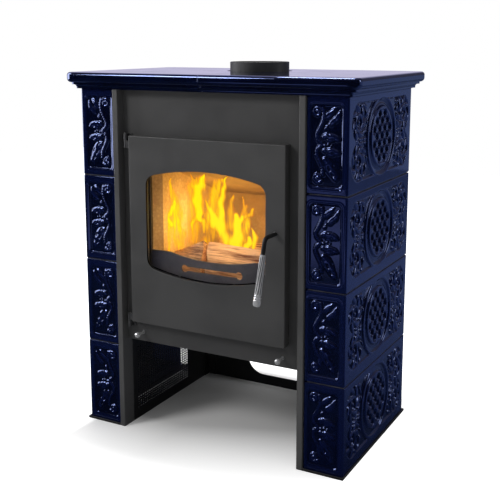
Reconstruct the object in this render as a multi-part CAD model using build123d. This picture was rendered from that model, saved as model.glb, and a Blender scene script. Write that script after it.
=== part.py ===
from build123d import *
import os
from math import asin, atan2, cos, degrees, radians, tan

os.makedirs("parts", exist_ok=True)

# Tiled stove. Millimetres, +Z up, front towards -Y.
# The origin lies on the floor, in the middle of the outline that includes the handle.

# driving dimensions
tile_pitch = 215.0          # height of one row of tiles with its joint
tile_rows = 4
tile_joint = 2.0
tile_wall = 14.0
tile_front_width = 98.5     # face of the corner tile beside the door
body_width = 710.0          # over the tiled sides
body_depth = 416.0
body_mid_y = 26.0           # the handle stands proud of the front, so the body sits behind the origin
plate_overhang = 29.5
plate_height = 40.0
flue_diameter = 150.0
flue_rise = 23.0            # collar above the top plate
post_width = 15.0
post_proud = 5.0            # posts in front of the tile faces
panel_recess = 23.5         # front panel behind the posts
door_width = 420.0
door_bottom = 285.0
door_top = 749.5
door_thickness = 24.5
store_height = 230.0        # open wood store under the firebox
window_width = 323.0
window_bottom = 411.0       # lowest and highest points of the barrel-shaped window
window_top = 675.0
window_crown = 22.0         # rise of its bowed top and bottom edges
rod_spacing = 388.0         # between the two air rods
rod_height = 252.7
handle_z = 549.7
grip_flare = 8.0            # degrees that the grip leans out from the door
grip_tilt = 3.7             # degrees that it hangs towards the window

# sheet and plate gauges
thin_sheet = 1.5
sheet = 2.0
panel_gauge = 3.0
shell_gauge = 4.0

# places that follow from them
half_body = body_width / 2
tile_front = body_mid_y - body_depth / 2
tile_back = body_mid_y + body_depth / 2
core_half = half_body - tile_front_width - 0.5 - post_width
stack_top = tile_pitch * tile_rows - tile_joint / 2
plate_top = stack_top + plate_height
post_front = tile_front - post_proud
panel_front = post_front + panel_recess
panel_back = panel_front + panel_gauge
post_depth = 40.0
post_back = post_front + post_depth
core_back = tile_back - 3.0
core_top = stack_top - sheet
door_half = door_width / 2
door_back = panel_front - 0.5
door_front = door_back - door_thickness
flue_y = body_mid_y + 67.0

# steel firebox
shell_half = 177.0          # inside the rope's path, so that the latch slot doesn't reach the fire
shell_back = 170.0
shell_floor = 298.0
shell_top = 790.0
shell_inner = shell_half - shell_gauge
air_box_half = 212.0
air_box_bottom = store_height + 8
air_box_top = shell_floor - shell_gauge
hearth_z = 392.0
hearth_thick = 30.0
lining_front = panel_back + 10.5
brick = 22.0
chamber_half = shell_inner - brick
chamber_back = shell_back - shell_gauge - brick

# opening of the front panel, the rope seal that lands round it, and the door's bed for that rope
opening_half = 165.0
opening_top = 690.0
rope_width = 7.0
rope_half = 173.0
rope_low = 292.5
rope_high = 701.5
rope_corner = 18.0
face_thick = 6.0
bed_back = door_back - 3.5
groove_depth = 5.0

# latch
handle_x = 186.0
spindle_radius = 4.0
cam_front = panel_back + 3.5
cam_thick = 5.0
cam_rest = 15.0             # degrees that the tongue points above level
tongue_length = 19.0
tongue_width = 9.0

# hinge
hinge_x = -(door_half + 15)
hinge_y = door_front + 11.5
pin_radius = 3.0
knuckle_radius = 5.0
running_gap = 0.05

# depth of the tiles' relief
relief = 4.0


# a box between two corners
def block(x0, x1, y0, y1, z0, z1):
    middle = Pos((x0 + x1) / 2, (y0 + y1) / 2, (z0 + z1) / 2)
    return middle * Box(x1 - x0, y1 - y0, z1 - z0)


# an outline drawn in X and Z, given thickness between two depths
def upright(outline, front, back):
    return extrude(Plane.XZ.offset(-back) * outline, back - front)


# an outline drawn in X and Y, given height
def flat(outline, bottom, top):
    return extrude(Plane.XY.offset(bottom) * outline, top - bottom)


# an outline drawn in Y and Z, given thickness between two X values
def sideways(outline, x0, x1):
    return extrude(Plane.YZ.offset(x0) * outline, x1 - x0)


# a cylinder along Y
def bar_y(x, z, radius, front, back):
    return upright(Pos(x, z) * Circle(radius), front, back)


# a cylinder along Z
def bar_z(x, y, radius, bottom, top):
    return flat(Pos(x, y) * Circle(radius), bottom, top)


# the same piece on the other side of the stove
def other_side(piece):
    return mirror(piece, about=Plane.YZ)


def save(name, *pieces):
    shape = pieces[0] if len(pieces) == 1 else Compound(children=list(pieces))
    export_step(shape, os.path.join("parts", name + ".step"))


# ---------------------------------------------------------------- tiles

# C-shaped rib of the ornament, an arc with round ends
def scroll(centre_u, centre_v, radius, start, sweep, width):
    arc = CenterArc((centre_u, centre_v), radius, start, sweep)
    return SlotArc(arc, width)


def ring(outer, inner):
    return Circle(outer) - Circle(inner)


# the broad side face, centred on its own middle: what is sunk round a medallion with a lattice and four scrolls
def side_sinking():
    medallion = 93.0
    lattice_radius = 63.0
    bar = 5.0
    lattice_step = 21.0
    art = ring(medallion, medallion - 7) + ring(lattice_radius + 5, lattice_radius)
    bars = Sketch()
    for turn in (45, -45):
        for step in range(-2, 3):
            bars += Rot(0, 0, turn) * Pos(0, step * lattice_step) * Rectangle(2 * lattice_radius + 4, bar)
    art += bars & Circle(lattice_radius + 1)
    for side in (-1, 1):
        for up in (-1, 1):
            facing = 90 - side * 90
            art += scroll(side * 142, up * 42, 27, facing + 40 * side * up, 235 * side * up, 7)
            art += Pos(side * 142, up * 42) * Circle(9)
            art += Pos(side * 110, up * 76) * Rot(0, 0, side * up * 45) * Ellipse(14, 6)
        art += Pos(side * 142, 0) * Rot(0, 0, 45) * RectangleRounded(16, 16, 4)
    return RectangleRounded(body_depth - 44, tile_pitch - 28, 12) - art


# the narrow front face: what is sunk round an S of two scrolls with leaves
def front_sinking():
    art = scroll(0, 42, 19, -70, 250, 6) + scroll(0, -42, 19, 110, 250, 6)
    art += Circle(7)
    for up in (-1, 1):
        art += Pos(0, up * 42) * Circle(6)
        art += Pos(up * 18, up * 76) * Rot(0, 0, 60) * Ellipse(11, 5)
        art += Pos(-up * 20, up * 12) * Rot(0, 0, 30) * Ellipse(9, 4)
    return RectangleRounded(tile_front_width - 32, tile_pitch - 31, 6) - art


# one corner tile on the right-hand side: an L in plan with ledges round its back
def corner_tile(row):
    bottom = sheet if row == 0 else row * tile_pitch + tile_joint / 2
    top = (row + 1) * tile_pitch - tile_joint / 2
    inner_x = half_body - tile_wall
    inner_y = tile_front + tile_wall
    front_x = half_body - tile_front_width
    outline = Polygon(
        (front_x, tile_front),
        (half_body, tile_front),
        (half_body, tile_back),
        (inner_x, tile_back),
        (inner_x, inner_y),
        (front_x, inner_y),
        align=None,
    )
    tile = flat(outline, bottom, top)
    outer_edge = tile.edges().filter_by(Axis.Z).sort_by_distance((half_body, tile_front, bottom))[0]
    tile = fillet(outer_edge, 5)
    ledge = 12.0
    ledge_plan = Polygon(
        (front_x + 6, inner_y),
        (inner_x, inner_y),
        (inner_x, tile_back - 6),
        (inner_x - ledge, tile_back - 6),
        (inner_x - ledge, inner_y + ledge),
        (front_x + 6, inner_y + ledge),
        align=None,
    )
    tile += flat(ledge_plan, bottom, bottom + 10)
    tile += flat(ledge_plan, top - 10, top)
    middle = (row + 0.5) * tile_pitch
    tile -= sideways(Pos(body_mid_y, middle) * side_sinking(), half_body - relief, half_body + 1)
    face_x = half_body - tile_front_width / 2
    tile -= upright(Pos(face_x, middle) * front_sinking(), tile_front - 1, tile_front + relief)
    return tile


# strips in the joints between the rows of one side, set back from the faces
def joint_strips():
    set_back = 3.0
    width = 18.0
    front_x = half_body - tile_front_width
    outer_x = half_body - set_back
    outer_y = tile_front + set_back
    plan = Polygon(
        (front_x + 7, outer_y),
        (outer_x, outer_y),
        (outer_x, tile_back - 7),
        (outer_x - width, tile_back - 7),
        (outer_x - width, outer_y + width),
        (front_x + 7, outer_y + width),
        align=None,
    )
    strips = []
    for row in range(1, tile_rows):
        strips.append(flat(plan, row * tile_pitch - tile_joint / 2, row * tile_pitch + tile_joint / 2))
    return strips


# folded tray under one tiled side, with an arm back to the rear post
def base_tray():
    lip = 5.5
    front = post_front
    back = tile_back + 10
    outer = half_body + 2.3
    inner = half_body - tile_wall - 14
    front_inner = core_half + post_width
    plan = Polygon(
        (front_inner, front),
        (outer, front),
        (outer, back),
        (core_half + thin_sheet, back),
        (core_half + thin_sheet, back - 34),
        (inner, back - 34),
        (inner, tile_front + 24),
        (front_inner, tile_front + 24),
        align=None,
    )
    tray = flat(plan, 0, sheet)
    tray += block(front_inner, outer, front, front + sheet, 0, lip)
    tray += block(outer - sheet, outer, front, back, 0, lip)
    tray += block(core_half + thin_sheet, outer, back - sheet, back, 0, lip)
    return tray


# brackets that tie the tiles of one side to the steel core
def tile_brackets():
    width = 20.0
    flange = 15.0
    inner_x = half_body - tile_wall
    start_x = core_half + thin_sheet
    brackets = []
    for row in (1, 3):
        level = (row + 0.5) * tile_pitch
        for y in (tile_front + 120, tile_back - 90):
            web = block(start_x, inner_x, y - width / 2, y + width / 2, level, level + sheet)
            near = block(start_x, start_x + sheet, y - width / 2, y + width / 2, level, level + flange)
            far = block(inner_x - sheet, inner_x, y - width / 2, y + width / 2, level, level + flange)
            brackets.append(web + near + far)
    return brackets


# ---------------------------------------------------------------- top plate

def plate_layer(overhang, bottom, top, corner):
    plan = RectangleRounded(body_width + 2 * overhang, body_depth + 2 * overhang, corner)
    return flat(Pos(0, body_mid_y) * plan, bottom, top)


# moulded plate: a cove, a fillet and a rounded nosing run round it, and a pocket lightens its back
def whole_plate():
    cove_height = 10.0
    step_height = 5.0
    step_overhang = plate_overhang - 11.5
    foot_overhang = 8.0
    cove_top = stack_top + cove_height
    nosing_bottom = cove_top + step_height
    foot = plate_layer(foot_overhang, stack_top, cove_top, 6)
    step = plate_layer(step_overhang, cove_top, nosing_bottom, 14)
    moulding = foot + step
    reach = half_body + foot_overhang + 1
    inner_loop = [
        edge
        for edge in moulding.edges().filter_by_position(Axis.Z, cove_top - 0.1, cove_top + 0.1)
        if abs(edge.center().X) < reach and abs(edge.center().Y - body_mid_y) < body_depth / 2 + foot_overhang + 1
    ]
    moulding = fillet(inner_loop, 7.5)
    nosing = plate_layer(plate_overhang, nosing_bottom, plate_top, 25)
    nosing = fillet(nosing.edges().group_by(Axis.Z)[-1], 8)
    nosing = fillet(nosing.edges().group_by(Axis.Z)[0], 10)
    plate = nosing + moulding
    rim = 38.0
    pocket = RectangleRounded(body_width - 2 * rim, body_depth - 2 * rim, 12)
    plate -= flat(Pos(0, body_mid_y) * pocket, stack_top - 1, nosing_bottom)
    plate -= bar_z(0, flue_y, flue_diameter / 2 + 8, stack_top - 2, plate_top + 2)
    return plate


def half_plate(plate):
    seam = 0.3
    right = block(seam, 1000, -1000, 1000, stack_top - 5, plate_top + 5)
    return plate & right


# ---------------------------------------------------------------- steel core

# folded channel, open at its back
def front_post():
    post = block(core_half, core_half + post_width, post_front, post_back, 0, stack_top)
    corners = post.edges().filter_by(Axis.Z).group_by(Axis.Y)[0]
    post = fillet(corners, 2)
    inside = block(
        core_half + sheet, core_half + post_width - sheet, post_front + sheet, post_back + 1, -1, stack_top + 1
    )
    return post - inside


def rear_post():
    leg = 25.0
    post = block(core_half - leg, core_half, core_back - leg, core_back, 0, core_top)
    post -= block(core_half - leg - 1, core_half - sheet, core_back - leg - 1, core_back - sheet, -1, core_top + 1)
    return post


# side sheet of the core, perforated along the wood store
def side_sheet():
    holes = Sketch()
    pitch = 28.0
    hole = 14.0
    columns = 12
    rows = 6
    middle_y = (post_back + core_back) / 2
    for row in range(rows):
        for column in range(columns):
            shift = pitch / 4 if row % 2 else -pitch / 4
            y = middle_y + (column - (columns - 1) / 2) * pitch + shift
            z = store_height / 2 + (row - (rows - 1) / 2) * pitch
            holes += Pos(y, z) * Rot(0, 0, 45) * Rectangle(hole, hole)
    body = block(core_half, core_half + thin_sheet, post_back, core_back + thin_sheet, 0, core_top)
    return body - sideways(holes, core_half - 1, core_half + thin_sheet + 1)


# lower back panel with its rounded cut-out
def back_panel():
    cut_width = 214.0
    cut_bottom = 28.0
    cut_height = 160.0
    outline = Pos(0, cut_bottom + cut_height / 2) * RectangleRounded(cut_width, cut_height, 50)
    panel = block(-core_half, core_half, core_back, core_back + thin_sheet, 0, store_height + 6)
    return panel - upright(outline, core_back - 1, core_back + thin_sheet + 1)


# upper back panel, slotted so that the air behind the firebox can rise
def rear_heat_shield():
    panel = block(-core_half, core_half, core_back, core_back + thin_sheet, store_height + 6, core_top)
    slots = Sketch()
    for level in (store_height + 60, core_top - 60):
        for column in range(-4, 5):
            slots += Pos(column * 48, level) * Rot(0, 0, 90) * SlotOverall(60, 9)
    return panel - upright(slots, core_back - 1, core_back + thin_sheet + 1)


def rear_screws():
    screws = []
    for x in (-core_half + 12, core_half - 12):
        for z in (20, store_height - 12, store_height + 24, 540, core_top - 20):
            face = core_back + thin_sheet
            head = chamfer(bar_y(x, z, 5, face, face + 2.6).edges().group_by(Axis.Y)[-1], 1.2)
            screws.append(head)
    return screws


# front panel of the firebox
def front_panel():
    panel = block(-core_half, core_half, panel_front, panel_back, store_height, core_top)
    panel += block(-core_half, core_half, panel_back, panel_back + 14, store_height, store_height + sheet)
    opening_height = opening_top - shell_floor
    opening = RectangleRounded(2 * opening_half, opening_height, 10)
    holes = Pos(0, (opening_top + shell_floor) / 2) * opening
    holes += Pos(rod_spacing / 2, rod_height) * Circle(4.5)
    holes += Pos(-rod_spacing / 2, rod_height) * Circle(4.5)
    slot_start = shell_half + 1.5
    slot_width = 28.5
    holes += Pos(slot_start + slot_width / 2, handle_z + 9) * RectangleRounded(slot_width, 48, 4)
    return panel - upright(holes, panel_front - 1, panel_back + 1)


# cover of the core under the top plate
def core_cover():
    cover = block(-core_half, core_half, panel_front, core_back + thin_sheet, core_top, stack_top)
    return cover - bar_z(0, flue_y, flue_diameter / 2 + 5, core_top - 1, stack_top + 1)


# welded box, open at the front, with ledges that carry the hearth
def firebox_shell():
    shell = block(-shell_half, shell_half, panel_back, shell_back, shell_floor, shell_top)
    shell -= block(
        -shell_inner, shell_inner, panel_back - 1, shell_back - shell_gauge, shell_floor - 1, shell_top - shell_gauge
    )
    floor = block(-air_box_half, air_box_half, panel_back, shell_back, air_box_top, shell_floor)
    air_slot = SlotOverall(160, 24)
    for y in (-20, 70):
        floor -= flat(Pos(0, y) * air_slot, air_box_top - 1, shell_floor + 1)
    shell += floor
    ledge_top = hearth_z - hearth_thick
    for side in (-1, 1):
        edge = side * shell_inner
        inner = side * (shell_inner - 12)
        low, high = min(edge, inner), max(edge, inner)
        shell += block(low, high, lining_front, shell_back - shell_gauge, ledge_top - shell_gauge, ledge_top)
    shell -= bar_z(0, flue_y, flue_diameter / 2 - 3, shell_top - 10, shell_top + 1)
    return shell


# folded box under the firebox that both air gates slide in
def air_box():
    front = panel_back + 3.5
    box = block(-air_box_half, air_box_half, front, shell_back, air_box_bottom, air_box_top)
    box -= block(
        -air_box_half + sheet, air_box_half - sheet, front + sheet, shell_back - sheet,
        air_box_bottom + sheet, air_box_top + 1,
    )
    for side in (-1, 1):
        x = side * rod_spacing / 2
        box -= bar_y(x, rod_height, 4.5, front - 1, front + sheet + 1)
        port = Pos(side * (rod_spacing / 2 - 10), gate_port_y) * RectangleRounded(36, 50, 5)
        box -= flat(port, air_box_bottom - 1, air_box_bottom + sheet + 1)
    return box


def flue_collar():
    wall = 3.0
    outer = flue_diameter / 2
    collar = bar_z(0, flue_y, outer, shell_top, plate_top + flue_rise)
    collar += bar_z(0, flue_y, outer + 20, shell_top, shell_top + 4)
    collar -= bar_z(0, flue_y, outer - wall, shell_top - 1, plate_top + flue_rise + 1)
    rim = collar.edges().group_by(Axis.Z)[-1]
    return chamfer(rim, 0.7)


# ---------------------------------------------------------------- lining and fire bed

# height of the baffle's lower face at a given depth
baffle_front = -90.0
baffle_low = 560.0
baffle_high = 664.0
baffle_back = chamber_back + brick
baffle_slope = (baffle_high - baffle_low) / (baffle_back - baffle_front)


def baffle_underside(y):
    return baffle_low + (baffle_back - y) * baffle_slope


def side_brick():
    back = shell_back - shell_gauge
    outline = Polygon(
        (lining_front, hearth_z),
        (back, hearth_z),
        (back, baffle_underside(back)),
        (baffle_front, baffle_underside(baffle_front)),
        (lining_front, baffle_underside(baffle_front)),
        align=None,
    )
    brick_body = sideways(outline, chamber_half, shell_inner)
    flare = Polygon(
        (chamber_half - 1, lining_front - 1),
        (shell_inner - 4, lining_front - 1),
        (chamber_half - 1, lining_front + 22),
        align=None,
    )
    return brick_body - flat(flare, hearth_z - 1, shell_top)


def rear_brick():
    back = shell_back - shell_gauge
    outline = Polygon(
        (chamber_back, hearth_z),
        (back, hearth_z),
        (back, baffle_underside(back)),
        (chamber_back, baffle_underside(chamber_back)),
        align=None,
    )
    return sideways(outline, -chamber_half, chamber_half)


def baffle():
    thick = 25.0
    back = shell_back - shell_gauge
    lean = atan2(baffle_slope, 1)
    rise = thick / cos(lean)
    outline = Polygon(
        (baffle_front - 4, baffle_underside(baffle_front - 4)),
        (back, baffle_underside(back)),
        (back, baffle_underside(back) + rise),
        (baffle_front - 4, baffle_underside(baffle_front - 4) + rise),
        align=None,
    )
    return sideways(outline, -shell_inner, shell_inner)


grate_width = 236.0
grate_depth = 166.0
grate_thick = 16.0
grate_y = 8.0


def hearth_plate():
    bottom = hearth_z - hearth_thick
    plate = block(-shell_inner, shell_inner, lining_front, shell_back - shell_gauge, bottom, hearth_z)
    seat = RectangleRounded(grate_width + 3, grate_depth + 3, 12)
    throat = RectangleRounded(grate_width - 16, grate_depth - 16, 8)
    plate -= flat(Pos(0, grate_y) * seat, hearth_z - grate_thick, hearth_z + 1)
    plate -= flat(Pos(0, grate_y) * throat, bottom - 1, hearth_z)
    return plate


# cast grate with parallel slots
def grate():
    casting = flat(Pos(0, grate_y) * RectangleRounded(grate_width, grate_depth, 10), hearth_z - grate_thick, hearth_z)
    slots = Sketch()
    for column in range(-4, 5):
        for side in (-1, 1):
            slots += Pos(column * 24, grate_y + side * 38) * Rot(0, 0, 90) * SlotOverall(62, 11)
    casting -= flat(slots, hearth_z - grate_thick - 1, hearth_z + 1)
    return casting


# flat guard behind the window, with a hollowed top edge and one long slot that is wider at its ends;
# two feet at its back stand on the hearth plate
guard_half = shell_inner - 1
guard_top = 467.0
guard_dip = 14.0
guard_gauge = 4.0
guard_foot = 20.0


def log_guard():
    back = lining_front - 0.5
    front = back - guard_gauge
    guard = block(-guard_half, guard_half, front, back, hearth_z, guard_top)
    reach = 118.0
    dip = make_face([
        ThreePointArc((-reach, guard_top), (0, guard_top - guard_dip), (reach, guard_top)),
        Line((-reach, guard_top), (reach, guard_top)),
    ])
    guard -= upright(dip, front - 5, front + 10)
    slot_z = 430.0
    slot_reach = 75.0
    slot = Pos(0, slot_z) * Rectangle(2 * slot_reach, 11)
    for side in (-1, 1):
        slot += Pos(side * slot_reach, slot_z) * Circle(9.5)
    guard -= upright(slot, front - 5, front + 10)
    for x in (-100, 60):
        guard += block(x, x + 40, back, back + guard_foot, hearth_z, hearth_z + 5)
    return guard


def ash_pan():
    half = 120.0
    front = lining_front + 2
    back = 95.0
    height = 46.0
    pan = block(-half, half, front, back, shell_floor, shell_floor + height)
    pan = fillet(pan.edges().filter_by(Axis.Z), 8)
    inside = block(
        -half + thin_sheet, half - thin_sheet, front + thin_sheet, back - thin_sheet,
        shell_floor + thin_sheet, shell_floor + height + 1,
    )
    inside = fillet(inside.edges().filter_by(Axis.Z), 6)
    pan -= inside
    pull = block(-45, 45, front, front + 12, shell_floor + height - thin_sheet, shell_floor + height)
    return pan + pull


# one split log: it lies on a split face, and its bark side is bowed
def split_log(length, base, height):
    foot = (-base / 2, 0)
    heel = (base * 0.45, 0)
    ridge = (-base * 0.05, height)
    wedge = make_face([
        Line(foot, heel),
        ThreePointArc(heel, (base * 0.38, height * 0.6), ridge),
        Line(ridge, foot),
    ])
    return extrude(Plane.YZ.offset(-length / 2) * wedge, length)


# a split log whose arris rises from one end to the other
def tapered_log(length, base, first_height, last_height):
    ends = []
    for x, height in ((-length / 2, first_height), (length / 2, last_height)):
        section = Polygon(
            (-base / 2, 0), (base / 2, 0), (base * 0.46, height * 0.42), (base * 0.2, height * 0.8), (-base * 0.12, height),
            align=None,
        )
        ends.append(Plane.YZ.offset(x) * section)
    return loft(ends, ruled=True)


# two logs end to end behind the guard and one at the back, all flat on the hearth
def split_logs():
    left_log = Pos(-99, -84, hearth_z) * Rot(0, 0, -5) * tapered_log(94, 68, 60, 99)
    right_log = Pos(41, -84, hearth_z) * Rot(0, 0, 4) * tapered_log(170, 68, 98, 90)
    rear_log = Pos(0, 103, hearth_z) * Rot(0, 0, 4) * split_log(240, 60, 58)
    return [left_log, right_log, rear_log]


# ---------------------------------------------------------------- door

def window_outline():
    half = window_width / 2
    face = make_face([
        Line((-half, window_bottom + window_crown), (-half, window_top - window_crown)),
        ThreePointArc((-half, window_top - window_crown), (0, window_top), (half, window_top - window_crown)),
        Line((half, window_top - window_crown), (half, window_bottom + window_crown)),
        ThreePointArc((half, window_bottom + window_crown), (0, window_bottom), (-half, window_bottom + window_crown)),
    ])
    return fillet(face.vertices(), 28)


def rope_outline(grow):
    width = 2 * (rope_half + grow)
    height = rope_high - rope_low + 2 * grow
    return Pos(0, (rope_high + rope_low) / 2) * RectangleRounded(width, height, rope_corner + grow)


def clip_places():
    return [(-80, window_top + 14), (80, window_top + 14), (-80, window_bottom - 14), (80, window_bottom - 14)]


# cast leaf: a thin face with a deep rim, a grooved bed for the rope and bosses behind
def door_leaf():
    leaf = block(-door_half, door_half, door_front, door_back, door_bottom, door_top)
    leaf = fillet(leaf.edges().filter_by(Axis.Y), 3)
    leaf = fillet(leaf.faces().sort_by(Axis.Y)[0].edges(), 2)
    face_back = door_front + face_thick
    rim = 5.0
    hollow = block(
        -door_half + rim, door_half - rim, face_back, door_back + 1, door_bottom + rim, door_top - rim
    )
    hollow = fillet(hollow.edges().filter_by(Axis.Y), 5)
    leaf -= hollow
    band = rope_width / 2
    bed = rope_outline(band + 1.8) - rope_outline(-band - 1.8)
    leaf += upright(bed, face_back - 1, bed_back)
    groove = rope_outline(band) - rope_outline(-band)
    leaf -= upright(groove, bed_back - groove_depth, door_back + 1)
    leaf += bar_y(handle_x, handle_z, 8.5, face_back - 1, door_back - 1)
    for x, z in clip_places():
        leaf += block(x - 11, x + 11, face_back - 1, face_back + 5.5, z - 7.5, z + 7.5)
        leaf -= bar_y(x, z, 2, face_back + 1, face_back + 6)
    stiffener = block(-rope_half + 8, rope_half - 8, face_back - 1, bed_back - 4, 348, 353)
    leaf += stiffener
    leaf -= upright(window_outline(), door_front - 1, door_back + 1)
    leaf -= bar_y(handle_x, handle_z, 5.5, door_front - 1, door_back + 1)
    return leaf


gasket_thick = 1.5
glass_thick = 4.0
glass_lap = 4.5


def door_glass():
    front = door_front + face_thick + gasket_thick
    return upright(offset(window_outline(), glass_lap), front, front + glass_thick)


def glass_gasket():
    front = door_front + face_thick
    band = offset(window_outline(), glass_lap) - offset(window_outline(), 0.5)
    return upright(band, front, front + gasket_thick)


def rope_seal():
    band = rope_width / 2
    outline = rope_outline(band) - rope_outline(-band)
    rope = upright(outline, bed_back - groove_depth, panel_front - 0.3)
    return fillet(rope.faces().sort_by(Axis.Y)[-1].edges(), 1.5)


def glass_clips():
    front = door_front + face_thick + gasket_thick + glass_thick
    clips = []
    for x, z in clip_places():
        toward_glass = -1 if z > window_top else 1
        plate = Pos(x, z + toward_glass * 6.5) * RectangleRounded(18, 27, 3) - Pos(x, z) * Circle(2)
        clips.append(upright(plate, front, front + thin_sheet))
    return clips


def glass_clip_screws():
    front = door_front + face_thick + gasket_thick + glass_thick + thin_sheet
    screws = []
    for x, z in clip_places():
        head = chamfer(bar_y(x, z, 4, front, front + 2.4).edges().group_by(Axis.Y)[-1], 1)
        screws.append(head + bar_y(x, z, 2, front - 5, front))
    return screws


# ---------------------------------------------------------------- hinges

low_knuckle = (268.0, 285.5)
high_knuckle = (736.5, 753.0)
lug_height = 17.0


def hinge_brackets():
    brackets = []
    for bottom, top in (low_knuckle, high_knuckle):
        knuckle = bar_z(hinge_x, hinge_y, knuckle_radius, bottom, top)
        arm = block(hinge_x - 3, hinge_x + 3, hinge_y, panel_front, bottom, top)
        foot = block(hinge_x - 12, hinge_x + 10, panel_front - 3, panel_front, bottom, top)
        bracket = knuckle + arm + foot
        brackets.append(bracket - bar_z(hinge_x, hinge_y, pin_radius, bottom - 1, top + 1))
    return brackets


# the pin is tight in its bracket and runs free in the door's lug
def hinge_pins():
    low = bar_z(hinge_x, hinge_y, pin_radius, low_knuckle[0], low_knuckle[1] + lug_height)
    high = bar_z(hinge_x, hinge_y, pin_radius, high_knuckle[0] - lug_height, high_knuckle[1])
    cap = bar_z(hinge_x, hinge_y, knuckle_radius - 0.6, high_knuckle[1], high_knuckle[1] + 2)
    cap = fillet(cap.edges().group_by(Axis.Z)[-1], 0.9)
    return [low, high + cap]


def hinge_lugs():
    gap = 0.3
    lugs = []
    for bottom in (low_knuckle[1] + gap, high_knuckle[0] - gap - lug_height):
        top = bottom + lug_height
        lug = bar_z(hinge_x, hinge_y, knuckle_radius, bottom, top)
        lug += block(hinge_x, -door_half, hinge_y - 4, hinge_y + 3, bottom, top)
        lugs.append(lug - bar_z(hinge_x, hinge_y, pin_radius + running_gap, bottom - 1, top + 1))
    return lugs


# ---------------------------------------------------------------- handle and latch

def spindle_bush():
    bush = bar_y(handle_x, handle_z, 5.5, door_front, door_back - 1)
    return bush - bar_y(handle_x, handle_z, spindle_radius + running_gap, door_front - 1, door_back + 1)


handle_reach = 50.5
elbow = Vector(handle_x, door_front - handle_reach, handle_z)
lean = Vector(-tan(radians(grip_tilt)), -tan(radians(grip_flare)), -1).normalized()
arm_to_grip = 36.0
grip_length = 116.0
grip_socket = 30.0


# bent rod whose neck is the spindle
def handle_rod():
    bar_radius = 5.0
    start = Vector(handle_x, door_front - 0.5, handle_z)
    end = elbow + lean * (arm_to_grip + grip_socket)
    path = FilletPolyline(start, elbow, end, radius=13)
    section = Plane(origin=start, z_dir=(0, -1, 0)) * Circle(bar_radius)
    rod = sweep(section, path=path)
    neck = bar_y(handle_x, handle_z, spindle_radius, door_front - 0.5, cam_front + cam_thick + 6.5)
    return rod + neck


# tapered grip with flutes and turned rings at its foot
def handle_grip():
    top_radius = 6.2
    foot_radius = 8.8
    flutes = 8
    flute_radius = 1.7
    waist_radius = foot_radius - 0.6
    profile = Polyline(
        (0, 0),
        (top_radius, 0),
        (waist_radius, grip_length - 24),
        (foot_radius - 1.4, grip_length - 22.5),
        (foot_radius + 0.2, grip_length - 20.5),
        (foot_radius - 1.2, grip_length - 18.5),
        (foot_radius, grip_length - 16),
        (foot_radius + 0.2, grip_length - 3),
        (foot_radius - 2, grip_length),
        (0, grip_length),
        close=True,
    )
    grip = revolve(Plane.XZ * make_face(profile), Axis.Z)
    fluted = grip_length - 30
    slope = degrees(asin((waist_radius - top_radius) / (grip_length - 24)))
    middle_radius = (top_radius + waist_radius) / 2 + 0.9
    for count in range(flutes):
        cutter = Pos(middle_radius, 0, 4 + fluted / 2) * Rot(0, slope, 0) * Cylinder(flute_radius, fluted)
        grip -= Rot(0, 0, count * 360 / flutes) * cutter
    grip -= Pos(0, 0, grip_socket / 2) * Cylinder(5, grip_socket)
    seat = Plane(origin=elbow + lean * arm_to_grip, z_dir=lean)
    return seat.location * grip


# hub and tongue; turned below its rest the tongue goes behind the keeper
def latch_cam():
    tongue = Pos(tongue_length / 2, 0) * RectangleRounded(tongue_length, tongue_width, 2)
    outline = Circle(6.5) + tongue
    outline -= Circle(spindle_radius)
    placed = Pos(handle_x, handle_z) * Rot(0, 0, cam_rest) * outline
    return upright(placed, cam_front, cam_front + cam_thick)


def cam_nut():
    nut = RegularPolygon(6.2, 6) - Circle(spindle_radius)
    front = cam_front + cam_thick
    return upright(Pos(handle_x, handle_z) * nut, front, front + 5)


# plate behind the panel whose sloping edge lies just under the tongue at rest
def latch_keeper():
    clear = 0.9
    slope = tan(radians(cam_rest))
    drop = tongue_width / 2 / cos(radians(cam_rest)) + clear
    inner = 8.0
    outer = 20.5
    tail = 37.0
    outline = Polygon(
        (handle_x + inner, handle_z - 24),
        (handle_x + tail, handle_z - 24),
        (handle_x + tail, handle_z + 14),
        (handle_x + outer + 3, handle_z + 14),
        (handle_x + outer + 3, handle_z + slope * outer - drop),
        (handle_x + outer, handle_z + slope * outer - drop),
        (handle_x + inner, handle_z + slope * inner - drop),
        align=None,
    )
    return upright(outline, panel_back, panel_back + panel_gauge)


# ---------------------------------------------------------------- air rods

rod_radius = 3.0
knob_y = post_front - 3.0
knob_radius = 7.2
gate_front = -110.0
gate_back = -50.0
gate_port_y = -65.0
rod_end = gate_back - 6


def rod_bushes():
    bushes = []
    for side in (-1, 1):
        x = side * rod_spacing / 2
        bush = bar_y(x, rod_height, 4.5, panel_front, panel_back + 2)
        bush += bar_y(x, rod_height, 6.5, panel_back, panel_back + 2)
        bushes.append(bush - bar_y(x, rod_height, rod_radius + running_gap, panel_front - 1, panel_back + 3))
    return bushes


def air_rod():
    return bar_y(rod_spacing / 2, rod_height, rod_radius, knob_y - 2, rod_end)


def air_knob():
    x = rod_spacing / 2
    ball = Pos(x, knob_y, rod_height) * Sphere(knob_radius)
    collar = bar_y(x, rod_height, 4.2, knob_y, knob_y + knob_radius + 3)
    knob = ball + collar
    return knob - bar_y(x, rod_height, rod_radius, knob_y - 2, knob_y + 20)


# flat gate with an upright lug that the rod is fixed in
def air_gate():
    x = rod_spacing / 2
    lift = 0.3
    bottom = air_box_bottom + sheet + lift
    plate = block(x - 34, x + 14, gate_front, gate_back, bottom, bottom + sheet)
    lug = block(x - 7, x + 7, rod_end - 4, rod_end, bottom, rod_height + 7)
    lug = fillet(lug.edges().filter_by(Axis.Y).group_by(Axis.Z)[-1], 5)
    return plate + lug - bar_y(x, rod_height, rod_radius, rod_end - 5, rod_end + 1)


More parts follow.
